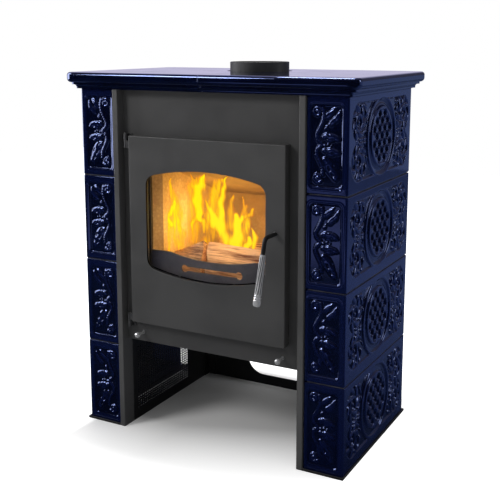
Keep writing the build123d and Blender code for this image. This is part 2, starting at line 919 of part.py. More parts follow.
# ---------------------------------------------------------------- all pieces

for row in range(tile_rows):
    tile = corner_tile(row)
    save(f"tile_right_{row + 1}", tile)
    save(f"tile_left_{row + 1}", other_side(tile))

strips = joint_strips()
save("tile_joint_strips", *strips, *[other_side(strip) for strip in strips])
brackets = tile_brackets()
save("tile_brackets", *brackets, *[other_side(bracket) for bracket in brackets])

plate = whole_plate()
for name, piece in (
    ("base_tray", base_tray()),
    ("top_plate", half_plate(plate)),
    ("front_post", front_post()),
    ("rear_post", rear_post()),
    ("side_sheet", side_sheet()),
    ("lining_brick", side_brick()),
):
    save(name + "_right", piece)
    save(name + "_left", other_side(piece))

save("back_panel", back_panel())
save("rear_heat_shield", rear_heat_shield())
save("rear_screws", *rear_screws())
save("front_panel", front_panel())
save("core_cover", core_cover())
save("firebox_shell", firebox_shell())
save("air_box", air_box())
save("flue_collar", flue_collar())
save("lining_brick_rear", rear_brick())
save("baffle", baffle())
save("hearth_plate", hearth_plate())
save("grate", grate())
save("log_guard", log_guard())
save("ash_pan", ash_pan())
save("split_logs", *split_logs())

save("door_leaf", door_leaf())
save("door_glass", door_glass())
save("glass_gasket", glass_gasket())
save("rope_seal", rope_seal())
save("glass_clips", *glass_clips())
save("glass_clip_screws", *glass_clip_screws())
save("hinge_brackets", *hinge_brackets())
save("hinge_pins", *hinge_pins())
save("hinge_lugs", *hinge_lugs())

save("spindle_bush", spindle_bush())
save("handle_rod", handle_rod())
save("handle_grip", handle_grip())
save("latch_cam", latch_cam())
save("cam_nut", cam_nut())
save("latch_keeper", latch_keeper())

save("rod_bushes", *rod_bushes())
for name, piece in (("air_rod", air_rod()), ("air_knob", air_knob()), ("air_gate", air_gate())):
    save(name + "_right", piece)
    save(name + "_left", other_side(piece))
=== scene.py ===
# Tiled wood stove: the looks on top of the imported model. Metres, +Z up, the door faces -Y.
import math
from functools import partial
import bmesh
import bpy
import numpy as np
from mathutils import Matrix, Vector


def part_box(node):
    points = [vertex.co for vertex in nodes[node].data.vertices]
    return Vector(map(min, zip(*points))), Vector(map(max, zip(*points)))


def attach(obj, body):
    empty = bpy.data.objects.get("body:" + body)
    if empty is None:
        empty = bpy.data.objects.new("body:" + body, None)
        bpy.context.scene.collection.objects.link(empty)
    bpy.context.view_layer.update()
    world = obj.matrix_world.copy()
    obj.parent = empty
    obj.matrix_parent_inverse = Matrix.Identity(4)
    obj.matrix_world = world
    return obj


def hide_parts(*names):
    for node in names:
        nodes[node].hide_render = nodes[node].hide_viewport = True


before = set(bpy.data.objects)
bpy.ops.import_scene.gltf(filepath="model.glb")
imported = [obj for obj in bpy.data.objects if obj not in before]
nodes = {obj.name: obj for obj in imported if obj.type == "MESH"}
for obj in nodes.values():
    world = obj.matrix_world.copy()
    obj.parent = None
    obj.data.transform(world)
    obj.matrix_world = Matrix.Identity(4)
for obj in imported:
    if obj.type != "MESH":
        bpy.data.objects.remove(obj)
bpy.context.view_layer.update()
print("frame loaded,", len(nodes), "nodes")


# small helpers for shader trees

def addNode(tree, kind, **settings):
    node = tree.nodes.new("ShaderNode" + kind)
    for key, value in settings.items():
        setattr(node, key, value)
    return node


def wire(source, node, label):
    source.id_data.links.new(source, node.inputs[label])


def give(value, node, label):  # a socket is joined, a plain value is set
    if isinstance(value, bpy.types.NodeSocket):
        wire(value, node, label)
    else:
        node.inputs[label].default_value = value


def setInputs(node, **values):
    for key, value in values.items():
        if value is not None:
            give(value, node, key.replace("_", " "))
    return node


def noise(vector, scale, detail=2.0, roughness=0.5, distortion=0.0):
    node = addNode(vector.id_data, "TexNoise")
    setInputs(node, Vector=vector, Scale=scale, Detail=detail, Roughness=roughness, Distortion=distortion)
    return node.outputs["Fac"]


def stretch(vector, scale, turn=(0, 0, 0)):  # pattern squeezed or turned on the piece
    node = addNode(vector.id_data, "Mapping")
    return setInputs(node, Vector=vector, Scale=scale, Rotation=turn).outputs["Vector"]


def mapRange(value, fromLow, fromHigh, toLow=0, toHigh=1, kind="LINEAR"):
    node = addNode(value.id_data, "MapRange", interpolation_type=kind)
    for index, number in enumerate((value, fromLow, fromHigh, toLow, toHigh)):
        give(number, node, index)
    return node.outputs[0]


def ease(*limits):  # the same with soft ends
    return mapRange(*limits, kind="SMOOTHSTEP")


def calculate(operation, first, second=0.0, clamp=False):
    node = addNode(first.id_data, "Math", operation=operation, use_clamp=clamp)
    give(first, node, 0)
    give(second, node, 1)
    return node.outputs[0]


times, plus, minus, larger = (partial(calculate, word) for word in ("MULTIPLY", "ADD", "SUBTRACT", "MAXIMUM"))


def mixColour(factor, first, second):
    node = addNode(factor.id_data, "Mix", data_type="RGBA")
    for index, value in ((0, factor), (6, first), (7, second)):
        give(value + (1,) if isinstance(value, tuple) else value, node, index)
    return node.outputs[2]


def bump(height, strength, distance, normal=None):
    node = addNode(height.id_data, "Bump")
    return setInputs(node, Height=height, Strength=strength, Distance=distance, Normal=normal).outputs["Normal"]


def attribute(tree, name):
    return addNode(tree, "Attribute", attribute_name=name).outputs


def splitVector(vector):
    parts = addNode(vector.id_data, "SeparateXYZ")
    wire(vector, parts, 0)
    return parts.outputs


def newMaterial(name, **values):
    material = bpy.data.materials.new(name)
    material.use_nodes = True
    tree = material.node_tree
    shader = setInputs(tree.nodes["Principled BSDF"], **values)
    coords = addNode(tree, "TexCoord")
    return material, tree, shader, coords.outputs["Object"]


def dressed(material, colour, rough, normal=None):
    setInputs(material.node_tree.nodes["Principled BSDF"], Base_Color=colour, Roughness=rough, Normal=normal)
    return material


# effects that several finishes share

def newGroup(name, inputs, outputs):  # an input without a value is a vector, a tuple is a colour
    group = bpy.data.node_groups.new(name, "ShaderNodeTree")
    for label, value in inputs.items():
        kind = "Vector" if value is None else "Color" if isinstance(value, tuple) else "Float"
        socket = group.interface.new_socket(name=label, in_out="INPUT", socket_type="NodeSocket" + kind)
        if value is not None:
            socket.default_value = value
    for label, kind in outputs.items():
        group.interface.new_socket(name=label, in_out="OUTPUT", socket_type="NodeSocket" + kind)
    return group, group.nodes.new("NodeGroupInput").outputs, group.nodes.new("NodeGroupOutput")


def makeCloudTone():  # slow change between two tones of one finish, with fine speckle
    inputs = {"Vector": None, "Scale": 6.0, "Dark": (0, 0, 0, 1), "Light": (1, 1, 1, 1), "Speckle": 0.1}
    group, given, result = newGroup("cloudTone", inputs, {"Color": "Color", "Mask": "Float"})
    slow = noise(given["Vector"], given["Scale"], 4.0, 0.6)
    fine = noise(given["Vector"], 420.0)
    grain = times(minus(fine, 0.5), given["Speckle"])
    mask = plus(ease(slow, 0.34, 0.66), grain, clamp=True)
    wire(mixColour(mask, given["Dark"], given["Light"]), result, "Color")
    wire(mask, result, "Mask")
    return group


def makeSoftEdge():  # rounds sharp arrises in the light, with a wear mask along them
    outputs = {"Normal": "Vector", "Edge": "Float"}
    group, given, result = newGroup("softEdge", {"Radius": 0.0008, "Wear": 1.0}, outputs)
    bevel = addNode(group, "Bevel", samples=4)
    wide = addNode(group, "Bevel", samples=4)
    wire(given["Radius"], bevel, "Radius")
    wire(times(given["Radius"], 1.6), wide, "Radius")
    dot = addNode(group, "VectorMath", operation="DOT_PRODUCT")
    wire(wide.outputs["Normal"], dot, 0)
    wire(addNode(group, "NewGeometry").outputs["True Normal"], dot, 1)
    edge = mapRange(dot.outputs["Value"], 0.98, 0.8)
    wire(bevel.outputs["Normal"], result, "Normal")
    wire(times(edge, given["Wear"], clamp=True), result, "Edge")
    return group


def makeFineGrain():  # orange peel and pinholes
    inputs = {"Vector": None, "Scale": 300.0, "Waves": 40.0, "Wave depth": 0.5}
    group, given, result = newGroup("fineGrain", inputs, {"Height": "Float"})
    fine = noise(given["Vector"], given["Scale"], 3.0, 0.6)
    wave = noise(given["Vector"], given["Waves"], 1.0)
    wire(plus(fine, times(wave, given["Wave depth"])), result, "Height")
    return group


def makeSettledDust():  # pale film on what faces up
    group, given, result = newGroup("settledDust", {"Vector": None, "Amount": 0.3}, {"Mask": "Float"})
    facing = splitVector(addNode(group, "NewGeometry").outputs["Normal"])
    up = ease(facing["Z"], 0.55, 0.95)
    cloud = mapRange(noise(given["Vector"], 22.0, 5.0, 0.65), 0.35, 0.75, 0.25)
    wire(times(times(up, cloud), given["Amount"], clamp=True), result, "Mask")
    return group


cloudTone = makeCloudTone()
softEdge = makeSoftEdge()
fineGrain = makeFineGrain()
settledDust = makeSettledDust()


def place(tree, group, **values):
    return setInputs(addNode(tree, "Group", node_tree=group), **values).outputs


def twoTones(coords, scale, dark, light, speckle):
    values = {"Vector": coords, "Scale": scale, "Dark": dark + (1,), "Light": light + (1,), "Speckle": speckle}
    return place(coords.id_data, cloudTone, **values)


def grainHeight(coords, scale, waves, depth):
    return place(coords.id_data, fineGrain, Vector=coords, Scale=scale, Waves=waves, Wave_depth=depth)["Height"]


# finishes

paintLabels = ("dark", "light", "rough", "grain", "patch", "radius", "wear")
paintFinishes = {  # two tones, roughness, height of the grain, scale of the patches, radius and wear of the edges
    "panelPaint": ((0.044, 0.044, 0.0445), (0.051, 0.051, 0.0515), 0.48, 0.00006, 5.0, 0.0007, 0.25),
    "doorPaint": ((0.047, 0.047, 0.0473), (0.055, 0.055, 0.0553), 0.46, 0.00008, 6.0, 0.0012, 0.3),
    "postPaint": ((0.062, 0.062, 0.063), (0.073, 0.073, 0.074), 0.42, 0.00005, 7.0, 0.0008, 0.3),
    "corePaint": ((0.012, 0.012, 0.012), (0.018, 0.018, 0.018), 0.55, 0.00006, 6.0, 0.0006, 0.15),
    "shellPaint": ((0.012, 0.011, 0.010), (0.022, 0.020, 0.018), 0.75, 0.00020, 14.0, 0.0008, 0.0),
    "rodPaint": ((0.010, 0.010, 0.010), (0.016, 0.016, 0.016), 0.40, 0.00003, 30.0, 0.0004, 0.1),
    "collarPaint": ((0.022, 0.022, 0.021), (0.030, 0.030, 0.029), 0.50, 0.00006, 9.0, 0.0006, 0.35),
}
windowReveal = {"X": (-0.164, 0.164), "Y": (-0.1884, -0.1834), "Z": (0.385, 0.68)}  # cut edge of the door sheet
revealBlend = 0.0002


def paintedRevealShade(coords):  # painted shade: the cut edge round the window is painted near-black
    parts = splitVector(coords)
    mask = 1.0
    for axis, (low, high) in windowReveal.items():
        inside = mapRange(parts[axis], low, low + revealBlend)
        inside = times(inside, mapRange(parts[axis], high - revealBlend, high, 1, 0))
        mask = times(inside, mask)
    return mask


def paintedMetal(name, values):
    finish = dict(zip(paintLabels, values))
    rough = finish["rough"]
    material, tree, shader, coords = newMaterial(name, Metallic=0.0, Specular_IOR_Level=0.45)
    tone = twoTones(coords, finish["patch"], finish["dark"], finish["light"], 0.7)
    edges = place(tree, softEdge, Radius=finish["radius"], Wear=finish["wear"])
    dust = place(tree, settledDust, Vector=coords, Amount=0.10)
    worn = mixColour(edges["Edge"], tone["Color"], (0.16, 0.16, 0.165))
    dusty = mixColour(dust["Mask"], worn, (0.30, 0.29, 0.28))
    if name == "doorPaint":
        # painted shade: the door sheet's cut edge round the window turns near-black
        revealShade = paintedRevealShade(coords)
        dusty = mixColour(revealShade, dusty, (0.001, 0.001, 0.001))
        wire(revealShade, shader, "Metallic")
    normal = bump(grainHeight(coords, 900.0, 60.0, 0.5), 0.6, finish["grain"], edges["Normal"])
    return dressed(material, dusty, mapRange(tone["Mask"], 0, 1, rough - 0.05, rough + 0.07), normal)


glazeFinish = {  # thick glaze in the hollows, thin glaze on the crests
    "pooled": (0.0005, 0.0011, 0.0065), "thin": (0.0026, 0.0052, 0.034), "body": (0.0009, 0.0022, 0.0140),
    "spots": (0.012, 0.02, 0.10), "rough": 0.045, "tint": (0.41, 0.52, 1.0, 1), "gloss": 0.85, "waves": 38.0,
}


def glazedCeramic(name, relief):
    finish = glazeFinish
    shine = {"IOR": 1.9, "Specular_Tint": finish["tint"], "Specular_IOR_Level": finish["gloss"]}
    material, tree, _, coords = newMaterial(name, **shine)
    colour = twoTones(coords, 9.0, finish["pooled"], finish["body"], 0.25)["Color"]
    normal = None
    if relief:
        crest = ease(attribute(tree, "relief")["Fac"], 0.35, 1.0, 0, 0.85)
        colour = mixColour(crest, colour, finish["thin"])
    else:
        normal = place(tree, softEdge, Radius=0.0012, Wear=0.0)["Normal"]
    spots = mapRange(noise(coords, 260.0, 1.0), 0.70, 0.76, 0, 0.5)
    normal = bump(grainHeight(coords, 330.0, finish["waves"], 3.0), 0.2, 0.00008, normal)
    film = mapRange(noise(coords, 14.0, 4.0, 0.6), 0.4, 0.7, finish["rough"] - 0.02, finish["rough"] + 0.05)
    dust = place(tree, settledDust, Vector=coords, Amount=0.08)
    return dressed(material, mixColour(spots, colour, finish["spots"]), plus(film, times(dust["Mask"], 0.12)), normal)


# the dark groove tone is painted shade in the grip's flute hollows
chromeFinish = {
    "bright": (0.80, 0.805, 0.81), "dull": (0.68, 0.685, 0.69), "groove": (0.035, 0.035, 0.04), "rough": 0.18,
}


def polishedChrome(name):
    finish = chromeFinish
    material, tree, _, coords = newMaterial(name, Metallic=0.65)
    tone = twoTones(coords, 55.0, finish["dull"], finish["bright"], 0.2)
    colour = mixColour(attribute(tree, "groove")["Fac"], tone["Color"], finish["groove"])
    rough = mapRange(tone["Mask"], 0, 1, finish["rough"] + 0.08, finish["rough"])
    return dressed(material, colour, rough, bump(grainHeight(coords, 1400.0, 120.0, 0.3), 0.2, 0.00003))


steelFinishes = {  # two tones, roughness, metallic share, lay of the fine lines
    "zincSteel": ((0.30, 0.31, 0.32), (0.46, 0.47, 0.48), 0.38, 1.0, (1, 1, 1)),
    "hingeSteel": ((0.055, 0.056, 0.058), (0.13, 0.13, 0.135), 0.42, 0.6, (1, 1, 9)),
    "panSteel": ((0.10, 0.095, 0.09), (0.20, 0.19, 0.18), 0.5, 0.9, (1, 8, 1)),
    "castIron": ((0.090, 0.089, 0.086), (0.116, 0.114, 0.110), 0.62, 0.1, (1, 1, 1)),
}


def bareSteel(name, values):
    dark, light, rough, metal, lay = values
    material, tree, _, coords = newMaterial(name, Metallic=metal)
    tone = twoTones(coords, 28.0, dark, light, 0.8)
    edges = place(tree, softEdge, Radius=0.0006, Wear=0.5)
    colour = mixColour(edges["Edge"], tone["Color"], (0.30, 0.30, 0.30))
    lines = noise(stretch(coords, lay), 160.0, 3.0)
    rough = mapRange(lines, 0.3, 0.7, rough - 0.08, rough + 0.12)
    return dressed(material, colour, rough, bump(lines, 0.4, 0.0001, edges["Normal"]))


brickFinish = {
    "clean": (0.52, 0.34, 0.12), "pale": (0.66, 0.47, 0.20), "flake": (0.34, 0.20, 0.08), "sootAndShade": (0.05, 0.035, 0.02),
    "flakes": 130.0,
}


def shaded(colour, factor):
    return tuple(value * factor for value in colour)


def firedLining(name, sootAmount, paintedShade):
    finish = brickFinish
    material, tree, _, coords = newMaterial(name)
    # painted shade: both tones are scaled down for the darker rear brick and baffle
    tone = twoTones(coords, 11.0, shaded(finish["clean"], paintedShade), shaded(finish["pale"], paintedShade), 1.2)
    flakes = setInputs(addNode(tree, "TexVoronoi"), Vector=coords, Scale=finish["flakes"]).outputs["Distance"]
    colour = mixColour(mapRange(flakes, 0.1, 0.7, 0, 0.45), tone["Color"], finish["flake"])
    cloud = ease(noise(coords, 9.0, 5.0, 0.65), 0.40, 0.72, 0, sootAmount)
    normal = bump(plus(flakes, noise(coords, 60.0, 4.0)), 0.7, 0.0008)
    return dressed(material, mixColour(cloud, colour, finish["sootAndShade"]), 0.95, normal)


ropeFinish = {"dark": (0.030, 0.030, 0.031), "light": (0.085, 0.083, 0.080), "strands": 190.0, "turn": 0.8}


def braidedRope(name):
    finish = ropeFinish
    material, tree, _, coords = newMaterial(name, Sheen_Weight=0.15)
    waves = []
    for turn in (finish["turn"], -finish["turn"]):
        wave = addNode(tree, "TexWave", bands_direction="X")
        turned = stretch(coords, (1, 1, 1), (0, turn, 0))
        setInputs(wave, Vector=turned, Scale=finish["strands"], Distortion=1.2, Detail=1.0)
        waves.append(wave.outputs["Fac"])
    weave = larger(*waves)
    colour = mixColour(weave, finish["dark"], finish["light"])
    return dressed(material, colour, mapRange(weave, 0, 1, 0.95, 0.75), bump(weave, 0.8, 0.0006))


stripFinish = {"dark": (0.02, 0.02, 0.022), "light": (0.05, 0.05, 0.055)}


def fibreStrip(name):
    material, _, _, coords = newMaterial(name)
    colour = twoTones(coords, 30.0, stripFinish["dark"], stripFinish["light"], 0.8)["Color"]
    fibres = noise(stretch(coords, (1, 1, 14)), 120.0, 4.0)
    return dressed(material, colour, mapRange(fibres, 0.3, 0.7, 0.8, 1.0), bump(fibres, 0.5, 0.0004))


glassFinish = {
    "clear": (0.97, 0.965, 0.95), "film": (0.55, 0.50, 0.42), "sootAndShade": (0.002, 0.002, 0.002),
    "bowCentre": 1.0148, "bowRadius": 0.6038, "shadeLine": 0.0015, "shadeBlend": 0.0004,  # painted shade: a near-black line along the bowed lower edge
}


def stoveGlass(name):
    finish = glassFinish
    material, _, _, coords = newMaterial(name, Metallic=0.0, IOR=1.3, Transmission_Weight=1.0)
    film = mapRange(noise(coords, 7.0, 4.0, 0.6), 0.45, 0.75, 1.0, 0.86)
    parts = splitVector(coords)
    drop = minus(parts["Z"], finish["bowCentre"])
    reach = calculate("SQRT", plus(times(parts["X"], parts["X"]), times(drop, drop)))
    # painted shade: a near-black line hugs the bowed lower edge of the window
    edge = finish["bowRadius"] - finish["shadeLine"]
    sootAndShade = mapRange(reach, edge - finish["shadeBlend"], edge)
    colour = mixColour(sootAndShade, mixColour(film, finish["film"], finish["clear"]), finish["sootAndShade"])
    return dressed(material, colour, mapRange(noise(coords, 30.0, 3.0), 0.3, 0.8, 0.0, 0.02))


woodFinish = {"pale": (0.86, 0.57, 0.31), "dark": (0.17, 0.06, 0.02), "char": (0.010, 0.007, 0.005), "grain": 60.0}


def splitWood(name):
    finish = woodFinish
    material, tree, _, _ = newMaterial(name)
    grainCoords = attribute(tree, "grainCoords")["Vector"]
    fibres = noise(stretch(grainCoords, (0.06, 1, 1)), finish["grain"] * 5, 5.0, 0.65)
    broad = noise(stretch(grainCoords, (0.1, 1, 1)), finish["grain"], 3.0)
    colour = mixColour(mapRange(plus(fibres, broad), 0.84, 1.16), finish["dark"], finish["pale"])
    charred = plus(attribute(tree, "charLevel")["Fac"], times(broad, 0.8))
    burnt = ease(charred, 0.75, 1.15)
    colour = mixColour(burnt, colour, finish["char"])
    return dressed(material, colour, mapRange(burnt, 0, 1, 0.75, 0.95), bump(fibres, 0.9, 0.0015))


flameFinish = {"core": (1.0, 0.81, 0.004), "middle": (1.0, 0.42, 0.004), "rim": (0.85, 0.16, 0.002), "strength": 1.2}


def flameGas(name):
    finish = flameFinish
    material, tree, shader, coords = newMaterial(
        name, Roughness=1.0, Base_Color=(0, 0, 0, 1), Specular_IOR_Level=0.0, Emission_Strength=finish["strength"])
    heat = attribute(tree, "flameWarmth")["Fac"]
    licks = noise(stretch(coords, (1, 1, 0.16)), 120.0, 2.0, 0.5, 0.5)
    broad = noise(stretch(coords, (1, 1, 0.5)), 21.0, 1.0)
    flicker = times(minus(plus(licks, broad), 1.0), mapRange(heat, 0, 0.3, 0, 1.1))
    level = plus(heat, flicker)
    warm = ease(level, 0.12, 0.50)
    hot = ease(level, 0.50, 1.10)
    wire(mixColour(hot, mixColour(warm, finish["rim"], finish["middle"]), finish["core"]), shader, "Emission Color")
    wire(ease(level, 0.05, 0.90, 0, 0.94), shader, "Alpha")
    material.surface_render_method = "BLENDED"
    return material


liningFinishes = {  # amount of soot, and painted shade that darkens the rear brick and the baffle
    "lining": (0.25, 1.0), "rearLining": (0.30, 0.66), "baffleLining": (0.45, 0.46), "hearthStone": (0.9, 1.0),
}
finishes = {name: paintedMetal(name, values) for name, values in paintFinishes.items()}
finishes.update({name: bareSteel(name, values) for name, values in steelFinishes.items()})
finishes.update({name: firedLining(name, *values) for name, values in liningFinishes.items()})
finishes.update({name: glazedCeramic(name, name == "glaze") for name in ("glaze", "plateGlaze")})
for name, make in (("chrome", polishedChrome), ("rope", braidedRope), ("jointStrip", fibreStrip), ("glass", stoveGlass),
                   ("wood", splitWood), ("flame", flameGas)):
    finishes[name] = make(name)
print("finishes made:", len(finishes))

nodeFinishes = {  # a name that ends in _ stands for its left and its right node
    "plateGlaze": "top_plate_",
    "jointStrip": "tile_joint_strips",
    "zincSteel": "tile_brackets glass_clips glass_clip_screws rear_screws cam_nut latch_cam latch_keeper spindle_bush"
                 " rod_bushes air_gate_",
    "postPaint": "front_post_",
    "corePaint": "base_tray_ rear_post_ back_panel rear_heat_shield core_cover air_box",
    "shellPaint": "firebox_shell",
    "panelPaint": "front_panel",
    "collarPaint": "flue_collar",
    "lining": "lining_brick_",
    "rearLining": "lining_brick_rear",
    "baffleLining": "baffle",
    "hearthStone": "hearth_plate",
    "castIron": "grate log_guard",
    "panSteel": "ash_pan",
    "doorPaint": "door_leaf",
    "glass": "door_glass",
    "rope": "rope_seal glass_gasket",
    "hingeSteel": "hinge_brackets hinge_lugs hinge_pins",
    "rodPaint": "handle_rod",
    "chrome": "air_knob_ air_rod_",
}
for finishName, names in nodeFinishes.items():
    for name in names.split():
        for side in ("left", "right") if name.endswith("_") else ("",):
            for slot in nodes[name + side].material_slots:
                slot.material = finishes[finishName]
print("CAD nodes finished")


# making a piece from a bmesh

weldGap = 0.000005
seamGap = 0.00002
sameSpot = 0.00001
barEdge = 0.0006


def addObject(name, data):
    thing = bpy.data.objects.new(name, data)
    bpy.context.scene.collection.objects.link(thing)
    return thing


def meshFrom(name, bm):
    mesh = bpy.data.meshes.new(name)
    bm.to_mesh(mesh)
    bm.free()
    return mesh


def makePiece(name, bm, finish, body, standsFor, sharpAngle):
    bmesh.ops.remove_doubles(bm, verts=bm.verts, dist=weldGap)
    bmesh.ops.recalc_face_normals(bm, faces=bm.faces)
    sharp = math.radians(sharpAngle)
    for face in bm.faces:
        face.smooth = True
    for edge in bm.edges:
        edge.smooth = edge.calc_face_angle(0) < sharp
    mesh = meshFrom(name, bm)
    mesh.materials.append(finishes[finish])
    piece = addObject(name, mesh)
    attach(piece, body)
    if standsFor:
        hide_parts(*standsFor)
    return piece


def onlyVerts(geom):
    return [part for part in geom if isinstance(part, bmesh.types.BMVert)]


def addBar(bm, low, high):  # plain bar between two corners, with its edges broken
    bar = bmesh.ops.create_cube(bm, size=1.0)["verts"]
    for vert in bar:
        for axis in range(3):
            vert.co[axis] = low[axis] if vert.co[axis] < 0 else high[axis]
    edges = {edge for vert in bar for edge in vert.link_edges}
    bmesh.ops.bevel(bm, geom=list(edges), offset=barEdge, segments=1, profile=0.5, affect="EDGES", material=-1)


# relief tiles: all sizes of the ornament in millimetres, from the middle of each face

tileShape = {
    "cell": 1.45, "frontWidth": 98.5, "sideLength": 416.0, "cornerRadius": 5.0, "wall": 14.0, "edgeRadius": 1.8,
    "borderLevel": -0.7, "sunkLevel": -4.0, "backRelief": 0.6, "ledgeEnd": 6.0,
    "ledge": (0.010, 0.012), "endSnap": 0.004,  # these in metres: height and depth of a ledge, reach of the snap
}
rows = {1: (0.002, 0.214), 2: (0.216, 0.429), 3: (0.431, 0.644), 4: (0.646, 0.859)}


def softStep(value, low, high):
    t = np.clip((value - low) / (high - low), 0, 1)
    return t * t * (3 - 2 * t)


def alongPath(u, v, points):  # distance to a path, and how far along it the nearest point is
    best = np.full(u.shape, 1e9)
    run = np.zeros(u.shape)
    side = np.zeros(u.shape)
    done = 0.0
    for (u0, v0), (u1, v1) in zip(points[:-1], points[1:]):
        du, dv = u1 - u0, v1 - v0
        length = math.hypot(du, dv)
        t = np.clip(((u - u0) * du + (v - v0) * dv) / length ** 2, 0, 1)
        away = np.hypot(u - u0 - t * du, v - v0 - t * dv)
        near = away < best
        best = np.where(near, away, best)
        run = np.where(near, done + t * length, run)
        side = np.where(near, ((u - u0) * dv - (v - v0) * du) / length, side)
        done += length
    return best, run / done, side, done


def smoothPath(points, rounds=2):  # corner cutting
    for _ in range(rounds):
        cut = [points[0]]
        for (u0, v0), (u1, v1) in zip(points[:-1], points[1:]):
            cut.append((u0 * 0.75 + u1 * 0.25, v0 * 0.75 + v1 * 0.25))
            cut.append((u0 * 0.25 + u1 * 0.75, v0 * 0.25 + v1 * 0.75))
        cut.append(points[-1])
        points = cut
    return points


def spiralPath(centre, startRadius, endRadius, startAngle, turns, steps=40):
    points = []
    for step in range(steps + 1):
        t = step / steps
        angle = math.radians(startAngle + turns * 360 * t)
        radius = startRadius + (endRadius - startRadius) * t
        points.append((centre[0] + radius * math.cos(angle), centre[1] + radius * math.sin(angle)))
    return points


def ridge(distance, halfWidth):  # rounded rib
    return np.sqrt(np.clip(1 - (distance / halfWidth) ** 2, 0, 1))


def roundedBox(u, v, halfU, halfV, corner):  # signed distance, negative inside
    du = np.abs(u) - (halfU - corner)
    dv = np.abs(v) - (halfV - corner)
    return np.hypot(np.maximum(du, 0), np.maximum(dv, 0)) + np.minimum(np.maximum(du, dv), 0) - corner


def lobe(u, v, centre, length, width, angle):  # one rounded finger of a leaf
    turn = math.radians(angle)
    p = ((u - centre[0]) * math.cos(turn) + (v - centre[1]) * math.sin(turn)) / (length / 2)
    q = (-(u - centre[0]) * math.sin(turn) + (v - centre[1]) * math.cos(turn)) / (width / 2)
    return np.sqrt(np.clip(1 - p ** 2 - (q / (1 - 0.35 * np.clip(p, -1, 1))) ** 2, 0, 1))


frontOrnament = {
    "middle": (-3.0, -1.5),
    "field": (37.0, 89.0, 8.0),
    "beadFrame": (43.0, 95.0, 13.0),
    "stem": [(-12, 79), (-9, 66), (-11, 53), (-18, 38), (-26, 25), (-25, 14), (-14, 5), (-14, -1), (-24, -6),
             (-27, -18), (-19, -33), (-11, -48), (-11, -62)],
    "stemHalf": 5.0,
    "twist": (0.14, 6.0, 0.75),  # depth, pitch and slant of the twisted stem
    "volutes": [((-24, 72), 11.0, 3.0, 40, 1.3), ((-23, -70), 11.0, 3.0, -40, -1.3)],
    "lobes": [((5, 69), 36, 14, 46), ((13, 54), 32, 14, 52), ((22, 63), 30, 13, 66), ((-4, 38), 12, 9, 60),
              ((-5, 21), 22, 12, 30), ((8, 20), 28, 15, 6), ((20, 16), 20, 14, -24), ((6, 12), 20, 10, -10),
              ((-6, -10), 16, 11, -10), ((7, -10), 22, 13, 8), ((20, -14), 20, 13, -18), ((6, -18), 24, 10, -14),
              ((7, -50), 60, 25, -60), ((-4, -33), 22, 11, -45), ((18, -68), 20, 16, -60)],
    "holes": [((14, -44), 14, 6, -62), ((4, -49), 14, 6, -64), ((12, -63), 13, 6, -60)],
    "beads": [((-7, 1), 3.6), ((1, 3), 3.2), ((8, 1), 2.6), ((-24, 72), 4.0), ((-23, -70), 4.0)],
}
sideOrnament = {
    "middle": 4.5,
    "field": (166.0, 85.0, 8.0),
    "scallops": ((146.0, 43.0), 43.5),
    "rings": [(92.0, 2.6, 3.4), (65.5, 3.2, 3.4)],
    "trough": (79.5, 10.5, 5.6),
    "pits": (33.8, 34.4, 10.2, 57.0, 6.6),  # spacings, radius, reach from the middle, depth
    "pitFlank": (1.3, -1.9),
    "pitSquareness": 2.3,
    "latticeLevel": -0.9,
    "rosette": ((148.0, 43.0), 6.0, 17.5, 4.4),
    "petals": (7, 31.5, 13.0, 10.5, 0.022),
    "lobes": [((110, 76), 26, 12, 20), ((103, 60), 22, 11, 62), ((112, 22), 26, 11, 150), ((110, 4), 20, 10, 0),
              ((132, 5), 26, 12, 0), ((156, 2), 20, 10, 0), ((128, 80), 22, 10, 150), ((98, 40), 14, 8, 120),
              ((174, 78), 20, 9, 150)],
}


def carvedLevel(art, field, softness):  # ornament standing on the sunk field, and the field's wall
    wall = softStep(field, -softness, 0.6)
    ground = tileShape["sunkLevel"] + (tileShape["borderLevel"] - tileShape["sunkLevel"]) * wall
    carved = tileShape["sunkLevel"] + art * (-0.1 - tileShape["sunkLevel"])
    return np.where(field < 0, np.maximum(ground, carved), ground)


def frontHeight(u, v):
    shape = frontOrnament
    art = np.zeros(u.shape)
    for centre, length, width, angle in shape["lobes"]:
        art = np.maximum(art, 0.95 * lobe(u, v, centre, length, width, angle))
    for centre, length, width, angle in shape["holes"]:
        art = art * (1 - 0.85 * lobe(u, v, centre, length, width, angle))
    for centre, startRadius, endRadius, startAngle, turns in shape["volutes"]:
        away, run, _, _ = alongPath(u, v, spiralPath(centre, startRadius, endRadius, startAngle, turns))
        art = np.maximum(art, ridge(away, 4.2 - 1.2 * run))
    away, run, side, length = alongPath(u, v, smoothPath(shape["stem"]))
    depth, pitch, slant = shape["twist"]
    twist = 1 - depth + depth * np.cos(run * length * 2 * math.pi / pitch + side * slant)
    art = np.maximum(art, ridge(away, shape["stemHalf"]) * twist)
    for centre, radius in shape["beads"]:
        art = np.maximum(art, ridge(np.hypot(u - centre[0], v - centre[1]), radius))
    fieldU, fieldV = u - shape["middle"][0], v - shape["middle"][1]
    field = roundedBox(fieldU, fieldV, *shape["field"])
    height = carvedLevel(art, field, 2.4)
    frameLine = roundedBox(fieldU, fieldV, *shape["beadFrame"])
    height = height - 0.7 * ridge(frameLine + 3.8, 2.2) * (field > 0)
    bead = ridge(frameLine, 2.6)
    return np.where(bead > 0, np.maximum(height, tileShape["borderLevel"] - 0.5 + bead * 0.95), height)


